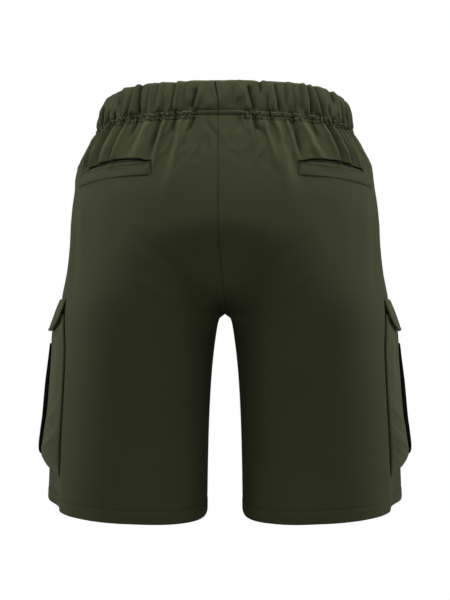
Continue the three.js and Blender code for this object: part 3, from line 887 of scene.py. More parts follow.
def leg_panel(name, node, hand, face):
    outside, outward, from_side, from_inner, drop, around = panel_surface(hand, face)
    layers = TWILL * (1 + smoothstep(HEM_DEPTH + 1, HEM_DEPTH - 1, LENGTH - drop))
    normals = grid_normals(outside, outward)
    inside = outside - normals * layers[..., None]
    grids[name] = (outside, normals)
    seam_distance = np.minimum.reduce([from_side, from_inner, drop, LENGTH - drop + 6])
    painted_shading = panel_painted_shading(hand, face, drop, around, from_inner)
    turn = turn_of(hand, around)
    beads = bead_row(turn, drop, PANEL_BEAD)
    round_waist = (turn * WAIST_MM_A_DEGREE, -drop)
    piece = cloth_shell(name, outside, inside, seam_distance, painted_shading, beads, round_waist)
    return clothed(piece, [node])


panels = {}
for label, hand in SIDES.items():
    for face_label, face in (("back", BACK), ("front", FRONT)):
        name = f"{face_label}_panel_{label}"
        panels[name] = leg_panel(name, f"{face_label}_{label}", hand, face)
        print(name, round(area_of(grids[name][0]), 4), "m2 of cloth")

# %% [markdown]
# ## The waistband
# The band is a tube of twill round an elastic. The elastic is shorter than the cloth, so the cloth
# stands up in round ribs with narrow valleys between them, dark from their depth and from painted
# shade. The valleys are what the eye reads, so they are what the tables hold: where each one lies,
# how far it leans, how deep and wide it is, and between which heights it runs. The ribs are what is
# left between them.
# A row of stitches just above the waist seam holds down a narrow roll of cloth, which is beaded
# wherever the cloth is gathered.

# %% Valleys of the waistband
VALLEY_COLUMNS = "turn lean depth spread low high"
VALLEYS_LEFT = table(
    VALLEY_COLUMNS,
    (10.4, -3.6, 2.6, 1.05, 2, 33),
    (15.6, -1.5, 0.6, 1.10, 10, 46),
    (20.8, -1.0, 1.8, 0.95, -6, 46),
    (26.2, 1.2, 0.7, 1.00, -6, 30),
    (29.8, -1.2, 0.8, 0.95, 6, 46),
    (34.2, -1.6, 0.9, 1.00, -6, 44),
    (39.6, 1.6, 2.6, 1.15, -6, 46),
    (46.0, -2.6, 2.6, 1.30, -6, 46),
    (51.6, -1.0, 0.9, 1.00, -6, 27),
    (53.6, 1.6, 0.9, 0.90, 16, 46),
    (57.0, -2.6, 2.6, 1.50, 22, 48),
    (58.2, 1.6, 1.6, 1.10, -6, 20),
    (64.0, 0.6, 1.5, 1.05, -6, 24),
    (68.6, -0.8, 1.0, 0.95, 4, 44),
    (73.4, 0.8, 2.6, 1.20, -6, 30),
    (79.6, -0.8, 2.0, 1.20, -6, 36),
    (85.4, 0.8, 1.7, 1.20, -6, 46),
)
VALLEYS_RIGHT = table(
    VALLEY_COLUMNS,
    (6.2, 3.0, 0.7, 1.10, 14, 46),
    (14.2, -3.2, 2.7, 1.25, 0, 36),
    (18.2, 1.0, 2.0, 0.85, 22, 48),
    (21.6, 0.8, 1.0, 0.95, -6, 28),
    (25.8, -1.6, 1.9, 1.00, -6, 40),
    (30.2, 0.8, 0.9, 1.00, 10, 46),
    (33.8, -0.8, 0.8, 1.00, -6, 42),
    (38.2, 1.0, 1.0, 0.95, 4, 46),
    (42.6, -0.6, 2.6, 1.30, -6, 46),
    (48.4, -4.0, 2.7, 1.30, -6, 46),
    (54.4, 0.8, 1.3, 1.00, -6, 24),
    (58.8, 2.2, 2.5, 1.45, 22, 48),
    (60.8, -1.0, 1.5, 1.05, -6, 20),
    (66.4, 1.0, 1.1, 0.95, -6, 38),
    (73.6, 0.6, 2.5, 1.20, -6, 30),
    (80.2, 1.0, 1.9, 1.20, -6, 40),
    (86.2, -0.6, 1.6, 1.15, -6, 46),
)
BAND_PROFILE = table(
    "up out",
    (0, 0.15),
    (5, 0.35),
    (11, 0.25),
    (20, -1.0),
    (31, -4.0),
    (38, -7.0),
    (BAND_HEIGHT, -8.8),
)
# The rolled edge stands a little above the solid's, most of all to the right of the centre back.
RIM_LIFT = table(
    "turn lift",
    (-180, 0.5),
    (-95, 0.5),
    (-66, 0.8),
    (-52, 1.7),
    (-38, 1.9),
    (-22, 1.6),
    (0, 0.8),
    (14, 0.6),
    (30, 0.9),
    (50, 0.8),
    (70, 0.6),
    (95, 0.5),
    (180, 0.5),
)
SEAM_ROLL = 5.0
VALLEY_LIMIT = 5.0  # a valley never cuts deeper into the band than this, however many meet
VALLEY_STRENGTH = 2.0


def valley_depth(rows, turn, up, shade=False):
    """The valleys of one half, or with shade, the painted shade in them and the painted highlight beside
    them; turn runs from its centre, up from the seam.
    """
    total = np.zeros(np.broadcast(turn, up).shape)
    for centre, lean, depth, spread, low, high in each_row(rows):
        place = centre + lean * (up / BAND_HEIGHT - 0.5)
        along = window(up, low, low + 8, high - 9, high)
        x = (turn - place) / spread * (1 if lean > 0 else -1)
        if shade:
            line = np.exp(-((np.abs(x) / 0.65) ** 1.6)) - 0.5 * bell(x - 1.6, 0.8)
            total = total + min(1.1, depth / 2.0) * along * line
            continue
        # One side of a valley is steep and swells; the other rises slowly.
        fold = np.exp(-((np.abs(x) / np.where(x > 0, 0.5, 0.95)) ** 1.2)) - 0.5 * bell(x - 1.9, 1.2)
        total = total + VALLEY_STRENGTH * depth * along * fold
    return total


def all_valleys(turn, up, shade=False):
    """The valleys all round the band; those of the front are the ones of the back, crosswise."""
    back = np.abs(turn)
    left, right = (
        valley_depth(behind, back, up, shade) + valley_depth(before, 180 - back, up, shade)
        for behind, before in ((VALLEYS_LEFT, VALLEYS_RIGHT), (VALLEYS_RIGHT, VALLEYS_LEFT))
    )
    return np.where(turn >= 0, left, right)


def band_relief(turn, up):
    """How far the ribs stand out, and the valleys sink in, all round the band."""
    deep = all_valleys(turn, up)
    slack = 0.4 * np.sin(np.radians(turn) * 17 + up / 9) + 0.3 * np.sin(np.radians(turn) * 43 - up / 7)
    held = smoothstep(3.0, 9, up)
    ribs = (slack - deep) * held
    return VALLEY_LIMIT * np.tanh(ribs / VALLEY_LIMIT)


def centre_seam(turn):
    """1 along the seam that joins the band at the centre back."""
    return bell(turn * WAIST_MM_A_DEGREE, 0.75)


# %% Make the waistband
BAND_TURNS = spaced(0, (1.5, 0.14), (358.5, 0.255), (360, 0.14))
JOINT_LEAN = 1.5
BAND_UPS = spaced(0, (6, 0.6), (34, 2.0), (BAND_HEIGHT, 0.85))


def signed(turns):
    """Degrees counted 0 to 360 round the waist, as -180 to 180 from the centre back."""
    return np.where(turns <= 180, turns, turns - 360)


def band_surface():
    """The outside and the lining of the band, the way out of it, and the place of each point."""
    up, turn = np.meshgrid(BAND_UPS, BAND_TURNS, indexing="ij")
    turn = signed(turn)
    turn[:, -1] = -1e-6  # the last column closes the ring, and belongs to the right half
    joint = centre_seam(turn) * (1 + 0.9 * smoothstep(18, 36, up))
    # The joint leans to the left towards the rim, and the cloth beside it goes along.
    turn = turn + JOINT_LEAN * smoothstep(14, BAND_HEIGHT, up) * bell(turn, 5)
    around = 1 - np.abs(turn) / 90
    outside, inside, outward_all = (np.zeros(turn.shape + (3,)) for _ in range(3))
    relief = band_relief(turn, up)
    for hand in (LEFT, RIGHT):
        mine = (turn >= 0) if hand == LEFT else (turn < 0)
        base = form_point(hand, 0, around[mine])
        outward = level_normal(hand, 0, around[mine])
        height = up[mine]
        gather = fold_depth(hand, 0, around[mine]) * np.maximum(0, 1 - height / 12)
        profile = read_table(BAND_PROFILE, "up", height, "out")
        pressed = groove(height - SEAM_ROLL - 0.4, 0.5, 0.6)
        beads = seam_puckers(turn[mine], height, SEAM_ROLL, 0.35)
        crisp = 0.9 * crumple(turn[mine] * WAIST_MM_A_DEGREE, 60 - height) * smoothstep(SEAM_ROLL, 12, height)
        out = profile + gather + relief[mine] + pressed + beads + crisp - 1.2 * joint[mine]
        lining = profile + gather - BAND_LAYERS - 0.9 + 0.35 * np.minimum(relief[mine], 0)
        # The top edge is a soft fold: it rounds over, and sinks a little in each valley.
        rounding = smoothstep(BAND_HEIGHT - 2.4, BAND_HEIGHT, height)
        lift = read_table(RIM_LIFT, "turn", turn[mine], "lift") * height / BAND_HEIGHT
        rise = height + lift + TUCK + rounding * np.clip(0.4 * relief[mine], -1.3, 0.5)
        outside[mine] = base + outward * (out - 1.3 * rounding)[:, None]
        inside[mine] = base + outward * (lining + 0.4 * rounding)[:, None]
        outside[mine, 2] = base[:, 2] + rise
        inside[mine, 2] = base[:, 2] + rise - 0.3 * rounding
        outward_all[mine] = outward
    for points in (outside, inside):
        points[:, 0, 0] -= TUCK
        points[:, -1, 0] += TUCK
        points[:, 0, 1] -= 0.5
        points[:, -1, 1] -= 0.5
    return outside, inside, outward_all, up, turn


def make_waistband():
    outside, inside, outward, up, turn = band_surface()
    grids["waistband"] = (outside, grid_normals(outside, outward))
    seam_distance = np.minimum.reduce([np.abs(up - SEAM_ROLL), up, BAND_HEIGHT - up + 1])
    # Painted shade along the waist seam and in the valleys, painted highlights beside the valleys, and
    # painted shade in the centre back joint.
    painted_shading = 0.15 * bell(up, 0.8) + all_valleys(turn, up, shade=True) * smoothstep(SEAM_ROLL - 1, 8, up)
    joint = centre_seam(signed(BAND_TURNS)) * smoothstep(SEAM_ROLL, 9, up)
    painted_shading = np.maximum(painted_shading, joint * mix(0.5, 0.95, smoothstep(14, 28, up)))
    beads = bead_row(turn, up, SEAM_ROLL)
    round_waist = np.broadcast_arrays(BAND_TURNS * WAIST_MM_A_DEGREE, up)
    piece = cloth_shell("gathered_waistband", outside, inside, seam_distance, painted_shading, beads, round_waist)
    return clothed(piece, ["waistband"])


waistband = make_waistband()
half_way_up = band_relief(signed(BAND_TURNS), BAND_HEIGHT / 2)
print("band grid:", len(BAND_UPS), "x", len(BAND_TURNS))
print("relief half way up, mm:", round(half_way_up.min(), 1), "to", round(half_way_up.max(), 1))

# %% [markdown]
# ## Sewn on: pieces that lie on a panel
# Welts, pockets, flaps and strips are cut separately and sewn over the panels. Each is made from the
# panel's own surface, moved out, so that it follows the folds below it instead of cutting through.
# The form with its folds and soft forms is used, without the small details that the piece covers.

# %% Lifted pieces


def covered_point(hand, drop, around, stand):
    """Points that stand off the leg by so many millimetres, and the way out of the cloth there."""
    base = form_point(hand, drop, around)
    outward = level_normal(hand, drop, around)
    depth = fold_depth(hand, drop, around) + soft_form_depth(hand, drop, around)
    surface = base + outward * depth[..., None]
    normals = grid_normals(surface, outward)
    return surface + normals * stand[..., None], normals


def lifted_piece(name, nodes, hand, drop, around, stand, thick, seam_distance, painted_shading=None):
    """A closed shell over a grid of places on the leg; it thins out where it is sewn down."""
    outside, normals = covered_point(hand, drop, around, stand)
    inner = np.maximum(stand - thick, np.minimum(stand - 0.2, 0.15))
    inside, _ = covered_point(hand, drop, around, inner)
    grids[name] = (outside, grid_normals(outside, normals))
    piece = cloth_shell(name, outside, inside, seam_distance, painted_shading)
    return clothed(piece, nodes)


# %% [markdown]
# ## The seat pocket welts
# A welt is a folded strip about 15 mm deep, stitched down along its lower edge and its ends, with a
# fold along its upper edge. Behind that fold the pocket facing shows as a narrow lens, and above it
# the lip of the panel casts a dark line, which painted shade deepens on the facing and in the slot.
# So the strip is one grid with a step in it: up the face of the welt, over the fold, down behind it,
# and on up the facing to the lip.

# %% Make the welts
WELT_STAND = 1.9
FACING_STAND = 0.5
SEWN_DOWN = 0.25
FACING_LEVELS = 0.36  # how far the facing goes on past the fold, where the welt itself is 1 high
WELT_ARCH = table("level stand", (0, SEWN_DOWN), (0.06, 1.2), (0.5, WELT_STAND), (1, WELT_STAND))


def welt_stand(level, share, above_fold):
    """level is 0 at the lower stitches and 1 at the fold; above_fold is millimetres past the fold."""
    face = read_table(WELT_ARCH, "level", np.clip(level, 0, 1), "stand")
    face = face + 0.5 * bell(level - 0.93, 0.09) - 1.3 * bell(share - 0.34, 0.14) * bell(level - 0.45, 0.35)
    face = face + 0.35 * bell(share - 0.72, 0.07) - 0.3 * bell(share - 0.1, 0.05) * bell(level - 0.5, 0.4)
    behind = smoothstep(0.0, 0.9, above_fold)
    facing = FACING_STAND - 0.5 * smoothstep(1.5, 5.5, above_fold)
    stand = mix(face, facing, behind)
    return mix(SEWN_DOWN, stand, window(share, 0.0, 0.02, 0.975, 1.0))


def make_welt(name, node, hand):
    """The face of the welt, its fold, and the facing behind it up to the lip, in one grid."""
    shares = spaced(0, (0.04, 0.006), (0.96, 0.0088), (1, 0.006))
    around_row = WELT_INNER[hand] - shares * (WELT_INNER[hand] - WELT_OUTER)
    levels = spaced(0, (0.1, 0.02), (0.86, 0.07), (1.0, 0.028), (1 + FACING_LEVELS, 0.03))
    level, share = np.meshgrid(levels, shares, indexing="ij")
    # The inner end stands upright, so the lower edge reaches further in than the fold.
    around = around_row + (1 - share) ** 2 * welt_end_place(level)
    bottom = WELT_BOTTOM + WELT_SLANT * share
    fold = WELT_TOP + WELT_SLANT * share
    lip = np.minimum(mouth_line(hand, around) + 1.5, fold - 0.7)
    past = np.clip((level - 1) / FACING_LEVELS, 0, 1)
    drop = np.where(level <= 1, mix(bottom, fold, level), mix(fold, lip, past))
    stand = welt_stand(level, share, np.maximum(0, fold - drop))
    rim = np.minimum(np.abs(level) * 15, np.minimum(share, 1 - share) * 100)
    # Painted shade on the facing behind the fold, deepening towards the lip, and in the gap at the welt's
    # inner end.
    dark = mix(0.55, 0.1, smoothstep(0, 0.12, share))
    painted_shading = 0.95 * smoothstep(dark, dark + 0.35, past)
    end_gap = (1 - smoothstep(0.06, 0.12, share)) * smoothstep(0.84, 0.92, level)
    painted_shading = np.maximum(painted_shading, 0.95 * end_gap)
    return lifted_piece(name, [node], hand, drop, around, stand, TWILL, rim, painted_shading)


def both_sides(make, name, node):
    """Makes a left and a right piece; both names get their side added."""
    made = {label: make(f"{name}_{label}", f"{node}_{label}", hand) for label, hand in SIDES.items()}
    for piece in made.values():
        print(piece.name, len(piece.data.polygons), "faces")
    return made


welts = both_sides(make_welt, "seat_pocket_welt", "back_welt")

# %% [markdown]
# ## The thigh pockets
# Each pocket is cut wider than the place it covers, so it stands off the leg like a shallow bellows:
# low at its sewn edges, where the cloth rolls under, and full between them and towards the bottom.
# It keeps an open mouth under its flap. A few slanting creases run across its lower half, where the
# fullness folds. They are laid as lines across the pocket, in millimetres from its back edge and down.

# %% Pocket form
POCKET_FULLNESS = table(
    "drop stand",
    (222, 1.2),
    (243, 4.2),
    (262, 3.9),
    (280, 3.4),
    (305, 3.5),
    (330, 3.8),
    (350, 5),
    (368, 7.5),
    (387, 10),
    (412, 10.5),
)
BACK_EDGE_WIDTH, EDGE_WIDTH, BOTTOM_EDGE = 36, 30, 26
SEWN_STAND = 0.3
POCKET_CREASES = table(
    "across drop to_across to_drop depth spread",
    (38, 386, 6, 366, 1.9, 3.0),
    (36, 371, 8, 353, -1.5, 2.8),
    (36, 356, 8, 334, 1.7, 3.4),
    (34, 336, 10, 318, -0.9, 3.2),
    (32, 398, 5, 384, -1.6, 2.8),
    (12, 244, 15, 312, 0.8, 4.5),
    (24, 250, 22, 300, -0.7, 4.0),
    (120, 380, 152, 345, 1.2, 4.2),
    (112, 352, 146, 322, -0.9, 3.8),
    (130, 400, 160, 374, -0.8, 3.4),
    (60, 398, 104, 392, -1.0, 5.0),
    (152, 250, 148, 318, 0.8, 4.4),
)


def creases(rows, x, y):
    """Soft ridges and hollows along straight lines, fading towards both ends of each."""
    total = np.zeros(np.broadcast(x, y).shape)
    for x0, y0, x1, y1, depth, spread in each_row(rows):
        length = math.hypot(x1 - x0, y1 - y0)
        ux, uy = (x1 - x0) / length, (y1 - y0) / length
        t = ((x - x0) * ux + (y - y0) * uy) / length
        away = (x - x0) * uy - (y - y0) * ux
        total = total + depth * window(t, -0.25, 0.3, 0.7, 1.25) * bell(away, spread)
    return total


def rounded(distance, width):
    """Rises steeply from 0 at an edge and levels off at 1, so many millimetres in from it."""
    return 1 - (1 - np.clip(distance / width, 0, 1)) ** 2


def pocket_edges(drop, around):
    """Millimetres from the back edge, the front edge and the bottom edge of a pocket."""
    from_back = (back_edge(drop) - around) * AROUND_MM
    from_front = (around - POCKET_FRONT_EDGE) * AROUND_MM
    return from_back, from_front, POCKET_BOTTOM - drop


def pocket_stand(drop, around):
    """How far the pocket stands off the leg: its fullness, its creases and its rolled edges."""
    from_back, from_front, from_bottom = pocket_edges(drop, around)
    sides = rounded(from_back, BACK_EDGE_WIDTH) * rounded(from_front, EDGE_WIDTH)
    edges = sides * rounded(from_bottom, BOTTOM_EDGE)
    full = PLAY + read_table(POCKET_FULLNESS, "drop", drop, "stand") * edges
    full = full + creases(POCKET_CREASES, from_back, drop) * np.sqrt(edges)
    nearest = np.minimum.reduce([from_back, from_front, from_bottom])
    rolled = np.sqrt(1 - (1 - np.clip(nearest / 1.4, 0, 1)) ** 2)
    return mix(SEWN_STAND, full, rolled)


def make_pocket(name, node, hand):
    back_to_front = spaced(POCKET_BACK_EDGE, (0.2, 0.0015), (0.17, 0.004), (-0.31, 0.0075), (-0.342, 0.004),
                           (POCKET_FRONT_EDGE, 0.0018))
    drops = spaced(POCKET_TOP, (226, 0.8), (400, 2.4), (408, 1), (POCKET_BOTTOM, 0.5))
    drop, around = np.meshgrid(drops, back_to_front, indexing="ij")
    around = around + (back_edge(drop) - POCKET_BACK_EDGE) * smoothstep(0.1, POCKET_BACK_EDGE, around)
    stand = pocket_stand(drop, around)
    stand = stand + 0.4 * bell(drop - POCKET_TOP - 1, 1.2) - groove(drop - POCKET_TOP - 12, -0.3, 0.9)
    from_back, from_front, from_bottom = pocket_edges(drop, around)
    seam = np.minimum.reduce([from_back, from_front, from_bottom, drop - POCKET_TOP])
    # Painted shade in the crack along the pocket's back edge.
    crack_shade = bell(from_back, 0.3)
    return lifted_piece(name, [node], hand, drop, around, stand, TWILL, seam, crack_shade)


pockets = both_sides(make_pocket, "thigh_pocket", "cargo_pocket")

# %% [markdown]
# ## Flaps and strips
# A flap is two layers of twill, turned and topstitched round three edges. It is sewn down along its
# top and springs away from the pocket below, so its lower edge stands clear and throws a shadow.
# The black strip is a narrow woven tape. It is caught at both ends on the face of the pocket and
# arches a little between them.

# %% Make flaps and strips
FLAP_MIDDLE = -0.07
FLAP_FLARE = 8.6
FLAP_LAYERS = 1.5
FLAP_WIDTH = 175
TOPSTITCH = 4
STRIP_TOP, STRIP_BOTTOM, STRIP_CREST = 259, 391, 2.9
STRIP_MIDDLE = STRIP_HALF_WIDTH = 1 / 24
STRIP_HALF_MM = 13
TAPE = 1.1


def make_flap(name, node, hand):
    down_row = spaced(0, (0.06, 0.02), (0.9, 0.035), (1, 0.014))
    across_row = spaced(0, (0.03, 0.0075), (0.97, 0.0125), (1, 0.0075))
    down, across = np.meshgrid(down_row, across_row, indexing="ij")
    drop = mix(FLAP_TOP, FLAP_BOTTOM, down)
    width = 1 - 0.29 * down**3
    edge = mix(back_edge(drop), POCKET_FRONT_EDGE, across)
    around = mix(FLAP_MIDDLE, edge, width)
    from_sides = np.minimum(across, 1 - across) * FLAP_WIDTH
    from_edge = np.minimum(from_sides, (1 - down) * (FLAP_BOTTOM - FLAP_TOP))
    stand = PLAY + FLAP_FLARE * down
    stand = stand + 0.5 * down * np.sin(across * 9 + hand) + 0.35 * down * np.sin(across * 21 - hand)
    stand = stand - groove(from_edge - TOPSTITCH, -0.35, 0.9) + 0.25 * bell(from_edge - 1.4, 1.6)
    stand = stand - 0.6 * bell(from_edge, 0.6) - 0.5 * bell(down, 0.03)
    seam = np.minimum(from_edge, down * (FLAP_BOTTOM - FLAP_TOP))
    return lifted_piece(name, [node], hand, drop, around, stand, FLAP_LAYERS, seam)


def make_strip(name, node, hand):
    down_row = spaced(0, (1, 0.012))
    across_row = spaced(-1, (1, 0.1))
    down, across = np.meshgrid(down_row, across_row, indexing="ij")
    drop = mix(STRIP_TOP, STRIP_BOTTOM, down)
    around = STRIP_MIDDLE - across * STRIP_HALF_WIDTH
    arch = np.sin(math.pi * down)
    stand = pocket_stand(drop, around) + PLAY + STRIP_CREST * arch * (1 - across**2)
    stand = stand - 0.45 * smoothstep(0.8, 1, np.abs(across))
    outside, _ = covered_point(hand, drop, around, stand)
    inside, _ = covered_point(hand, drop, around, stand - TAPE)
    piece = cloth_shell(name, outside, inside, (1 - np.abs(across)) * STRIP_HALF_MM)
    return clothed(piece, [node])


flaps = both_sides(make_flap, "thigh_pocket_flap", "pocket_flap")
strips = both_sides(make_strip, "black_strip", "pocket_strip")

# %% [markdown]
# ## Stitches
# Every seam here is lockstitched: on the face of the cloth it reads as a row of short dashes whose
# ends dive into the twill. Each dash is a tiny bead with six sides, thick in the middle and thin at
# its ends. All dashes of one seam are joined in one mesh, so that thousands of them cost little.

# %% Thread
STITCH_PITCH = 3.0
STITCH_LENGTH = 2.1
THREAD_RADIUS = 0.24
DASH_RINGS = np.array([-1, -0.62, 0, 0.62, 1])
DASH_SIDES = 6


def sampled(name, rows, columns):
    """Points and outward directions on a piece's grid, at fractional rows and columns."""
    outside, normals = grids[name][:2]
    rows, columns = np.broadcast_arrays(np.asarray(rows, float), np.asarray(columns, float))
    r = np.clip(rows.astype(int), 0, outside.shape[0] - 2)
    c = np.clip(columns.astype(int), 0, outside.shape[1] - 2)
    u, v = (rows - r)[:, None], (columns - c)[:, None]

    def blend(grid):
        return ((1 - u) * (1 - v) * grid[r, c] + u * (1 - v) * grid[r + 1, c]
                + (1 - u) * v * grid[r, c + 1] + u * v * grid[r + 1, c + 1])

    return blend(outside), unit(blend(normals))


def stitch_places(points, normals):
    """Centres, directions and outward directions of the dashes along a line."""
    steps = np.linalg.norm(np.diff(points, axis=0), axis=1)
    run = np.append(0, np.cumsum(steps))
    centres = np.arange(STITCH_PITCH / 2, run[-1], STITCH_PITCH)

    def at(values, where):
        return np.stack([np.interp(where, run, values[:, k]) for k in range(3)], axis=1)

    middle = at(points, centres)
    along = unit(at(points, centres + STITCH_LENGTH / 2) - at(points, centres - STITCH_LENGTH / 2))
    return middle, along, unit(at(normals, centres))


def sew(name, lines):
    """One mesh of dashes along several lines of points and normals."""
    parts = [stitch_places(points, normals) for points, normals in lines]
    middle, along, out = (np.concatenate([part[k] for part in parts]) for k in range(3))
    across = unit(np.cross(along, out))
    angles = np.arange(DASH_SIDES) * 2 * math.pi / DASH_SIDES
    thickness = np.sqrt(np.maximum(0.04, 1 - DASH_RINGS**2)) * THREAD_RADIUS
    lift = 0.12 - 0.3 * DASH_RINGS**2
    rings = (middle[:, None, None, :]
             + along[:, None, None, :] * (DASH_RINGS * STITCH_LENGTH / 2)[None, :, None, None]
             + out[:, None, None, :] * (lift[:, None] + thickness[:, None] * np.sin(angles))[None, :, :, None]
             + across[:, None, None, :] * (thickness[:, None] * np.cos(angles))[None, :, :, None])
    count, ring_count, sides = rings.shape[:3]
    points = rings.reshape(-1, 3)
    size = ring_count * sides
    index = np.arange(size).reshape(ring_count, sides)
    after = np.roll(index, -1, axis=1)
    walls = np.stack([index[:-1], after[:-1], after[1:], index[1:]], axis=-1).reshape(-1, 4)
    caps = np.array([[0, 5, 4, 3], [0, 3, 2, 1]])  # two quads close an end that has six sides
    ends = np.concatenate([caps, size - 1 - caps])
    one = turn_outward(points[:size], np.concatenate([walls, ends]))
    faces = (one[None] + (np.arange(count) * size)[:, None, None]).reshape(-1, 4)
    piece = new_mesh(name, points, faces)
    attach(piece, "root")
    print(name, count, "stitches")
    return piece


def across_line(name, places, place, inset, samples):
    """A line across a piece, along the row that lies at a place, from inset columns to inset columns."""
    row = np.interp(place, places, np.arange(len(places)))
    last = grids[name][0].shape[1] - 1
    return sampled(name, row, np.linspace(inset, last - inset, samples))


# %% Sew the seams that show


def border_lines(name, inset_rows, inset_columns):
    """Down one side, along the bottom and up the other side, inset by so many rows and columns."""
    rows, columns = (size - 1 for size in grids[name][0].shape[:2])
    last = rows - inset_rows
    down = np.linspace(0.5, last, 80)
    along = np.linspace(inset_columns, columns - inset_columns, 160)
    return [
        sampled(name, down, inset_columns),
        sampled(name, last, along),
        sampled(name, down[::-1], columns - inset_columns),
    ]


def welt_lines(name):
    """Down one end of a welt from its fold, along the lower edge and up the other end."""
    last = grids[name][0].shape[1] - 1 - WELT_INSET
    return [
        sampled(name, np.linspace(WELT_FOLD_ROW, WELT_INSET, 30), WELT_INSET),
        sampled(name, WELT_INSET, np.linspace(WELT_INSET, last, 140)),
        sampled(name, np.linspace(WELT_INSET, WELT_FOLD_ROW, 30), last),
    ]


HEM_ROW = (PANEL_DROPS, LENGTH - HEM_DEPTH)
ROLL_ROW = (BAND_UPS, SEAM_ROLL + 0.4)
WELT_INSET, WELT_FOLD_ROW = 4, 16
threads = {}
for label in SIDES:
    hem = [across_line(f"{face}_panel_{label}", *HEM_ROW, 0.4, 400) for face in ("back", "front")]
    for place, lines, slot in (
        ("hem", hem, "olive_twill"),
        ("flap", border_lines(f"thigh_pocket_flap_{label}", 5, 3), "olive_pocket"),
        ("pocket", border_lines(f"thigh_pocket_{label}", 7, 4), "olive_pocket"),
        ("welt", welt_lines(f"seat_pocket_welt_{label}"), "olive_twill"),
    ):
        threads[f"{place}_{label}"] = sew(f"{place}_stitches_{label}", lines)
threads["band"] = sew("waistband_stitches", [across_line("waistband", *ROLL_ROW, 1, 1600)])

# %% [markdown]
# ## Materials from shared effects
# The cloth is a light polyester twill: fine slanting ridges of yarn, a soft sheen where it turns
# away, and a colour that is never quite even. Four effects are shared by all the finishes, so each
# one is a node group with named inputs: the weave, the uneven tone, the change along seams with the
# painted shade and highlights of cracks and folds, and the painted light and shade of the beads of
# the waist seam. A group gives only colours and plain values. Each finish then has its own shader,
# with its own sheen.

# %% Node helpers


def new_group(name, inputs, outputs):
    """An empty node group with named sockets; gives the group and its input and output nodes."""
    group = bpy.data.node_groups.new(name, "ShaderNodeTree")
    for label, kind, value in inputs:
        socket = group.interface.new_socket(name=label, in_out="INPUT", socket_type=kind)
        if value is not None:
            socket.default_value = value
    for label, kind in outputs:
        group.interface.new_socket(name=label, in_out="OUTPUT", socket_type=kind)
    return group, group.nodes.new("NodeGroupInput"), group.nodes.new("NodeGroupOutput")


def fill(tree, sockets, **inputs):
    """Sets each input to a value or links it to a socket; i0 is the first input, Base_Color a named one."""
    for key, value in inputs.items():
        numbered = key[0] == "i" and key[1:].isdigit()
        socket = sockets[int(key[1:]) if numbered else key.replace("_", " ")]
        if isinstance(value, bpy.types.NodeSocket):
            tree.links.new(value, socket)
        else:
            socket.default_value = value


def node(tree, kind, settings=None, **inputs):
    """A node with its settings, and its inputs given as values or as sockets to link."""
    made = tree.nodes.new(kind)
    for key, value in (settings or {}).items():
        setattr(made, key, value)
    fill(tree, made.inputs, **inputs)
    return made


def maths(tree, operation, a, b=0.0):
    return node(tree, "ShaderNodeMath", {"operation": operation}, i0=a, i1=b).outputs[0]


def mixed(tree, share, a, b, blend="MIX"):
    made = node(tree, "ShaderNodeMix", {"data_type": "RGBA", "blend_type": blend}, i0=share, i6=a, i7=b)
    return made.outputs[2]


def shaded(tree, colour, factor):
    """The colour times a factor: above 1 lightens it and below 1 darkens it."""
    level = node(tree, "ShaderNodeCombineColor", i0=factor, i1=factor, i2=factor).outputs[0]
    return mixed(tree, 1.0, colour, level, "MULTIPLY")


def point_value(tree, name):
    """A value that every point of a shell carries: the seam value, the painted shading value or the beads
    value.
    """
    return node(tree, "ShaderNodeAttribute", {"attribute_name": name}).outputs["Fac"]


# %% [markdown]
# ### Weave
# Twill is woven so that each yarn steps one place over in every row, and the steps line up as slanting
# ridges. Two wave textures give it: one for the slanting ridges and one for the yarns across them.
# They read the UV map, which is in millimetres of cloth, so a pitch of 0.5 is half a millimetre.

# %% Weave group
FLOAT, COLOUR = "NodeSocketFloat", "NodeSocketColor"
FULL_TURN = 2 * math.pi
YARNS_A_RIDGE = 1.3
RIDGE_SLANT = 0.6


def weave_group():
    group, given, result = new_group(
        "Twill weave",
        [("Pitch", FLOAT, 0.6), ("Slub", FLOAT, 0.3)],
        [("Height", FLOAT), ("Thread", FLOAT)],
    )
    place = node(group, "ShaderNodeUVMap", {"uv_map": "Flat cut"}).outputs[0]
    slub = node(group, "ShaderNodeTexNoise", Vector=place, Scale=0.9, Detail=2.0)
    shift = maths(group, "MULTIPLY", maths(group, "SUBTRACT", slub.outputs[0], 0.5), given.outputs["Slub"])
    split = node(group, "ShaderNodeSeparateXYZ", Vector=place)
    across = maths(group, "ADD", split.outputs[0], shift)
    slant = maths(group, "ADD", across, maths(group, "MULTIPLY", split.outputs[1], RIDGE_SLANT))
    ridges = maths(group, "DIVIDE", slant, given.outputs["Pitch"])
    ridge = maths(group, "SINE", maths(group, "MULTIPLY", ridges, FULL_TURN))
    rows = maths(group, "DIVIDE", split.outputs[1], given.outputs["Pitch"])
    yarn = maths(group, "SINE", maths(group, "MULTIPLY", rows, FULL_TURN * YARNS_A_RIDGE))
    ridge_part, yarn_part = maths(group, "MULTIPLY", ridge, 0.35), maths(group, "MULTIPLY", yarn, 0.15)
    height = maths(group, "ADD", maths(group, "ADD", ridge_part, yarn_part), 0.5)
    fill(group, result.inputs, Height=height, Thread=slub.outputs[0])
    return group


# %% [markdown]
# ### Uneven tone
# Dyed cloth that was folded, packed and worn has soft, large areas that are a little lighter or darker,
# and a fine streakiness along its yarns. Noise at two scales, placed by the object's own coordinates,
# gives both, and the inputs say how strong they are.

# %% Tone group


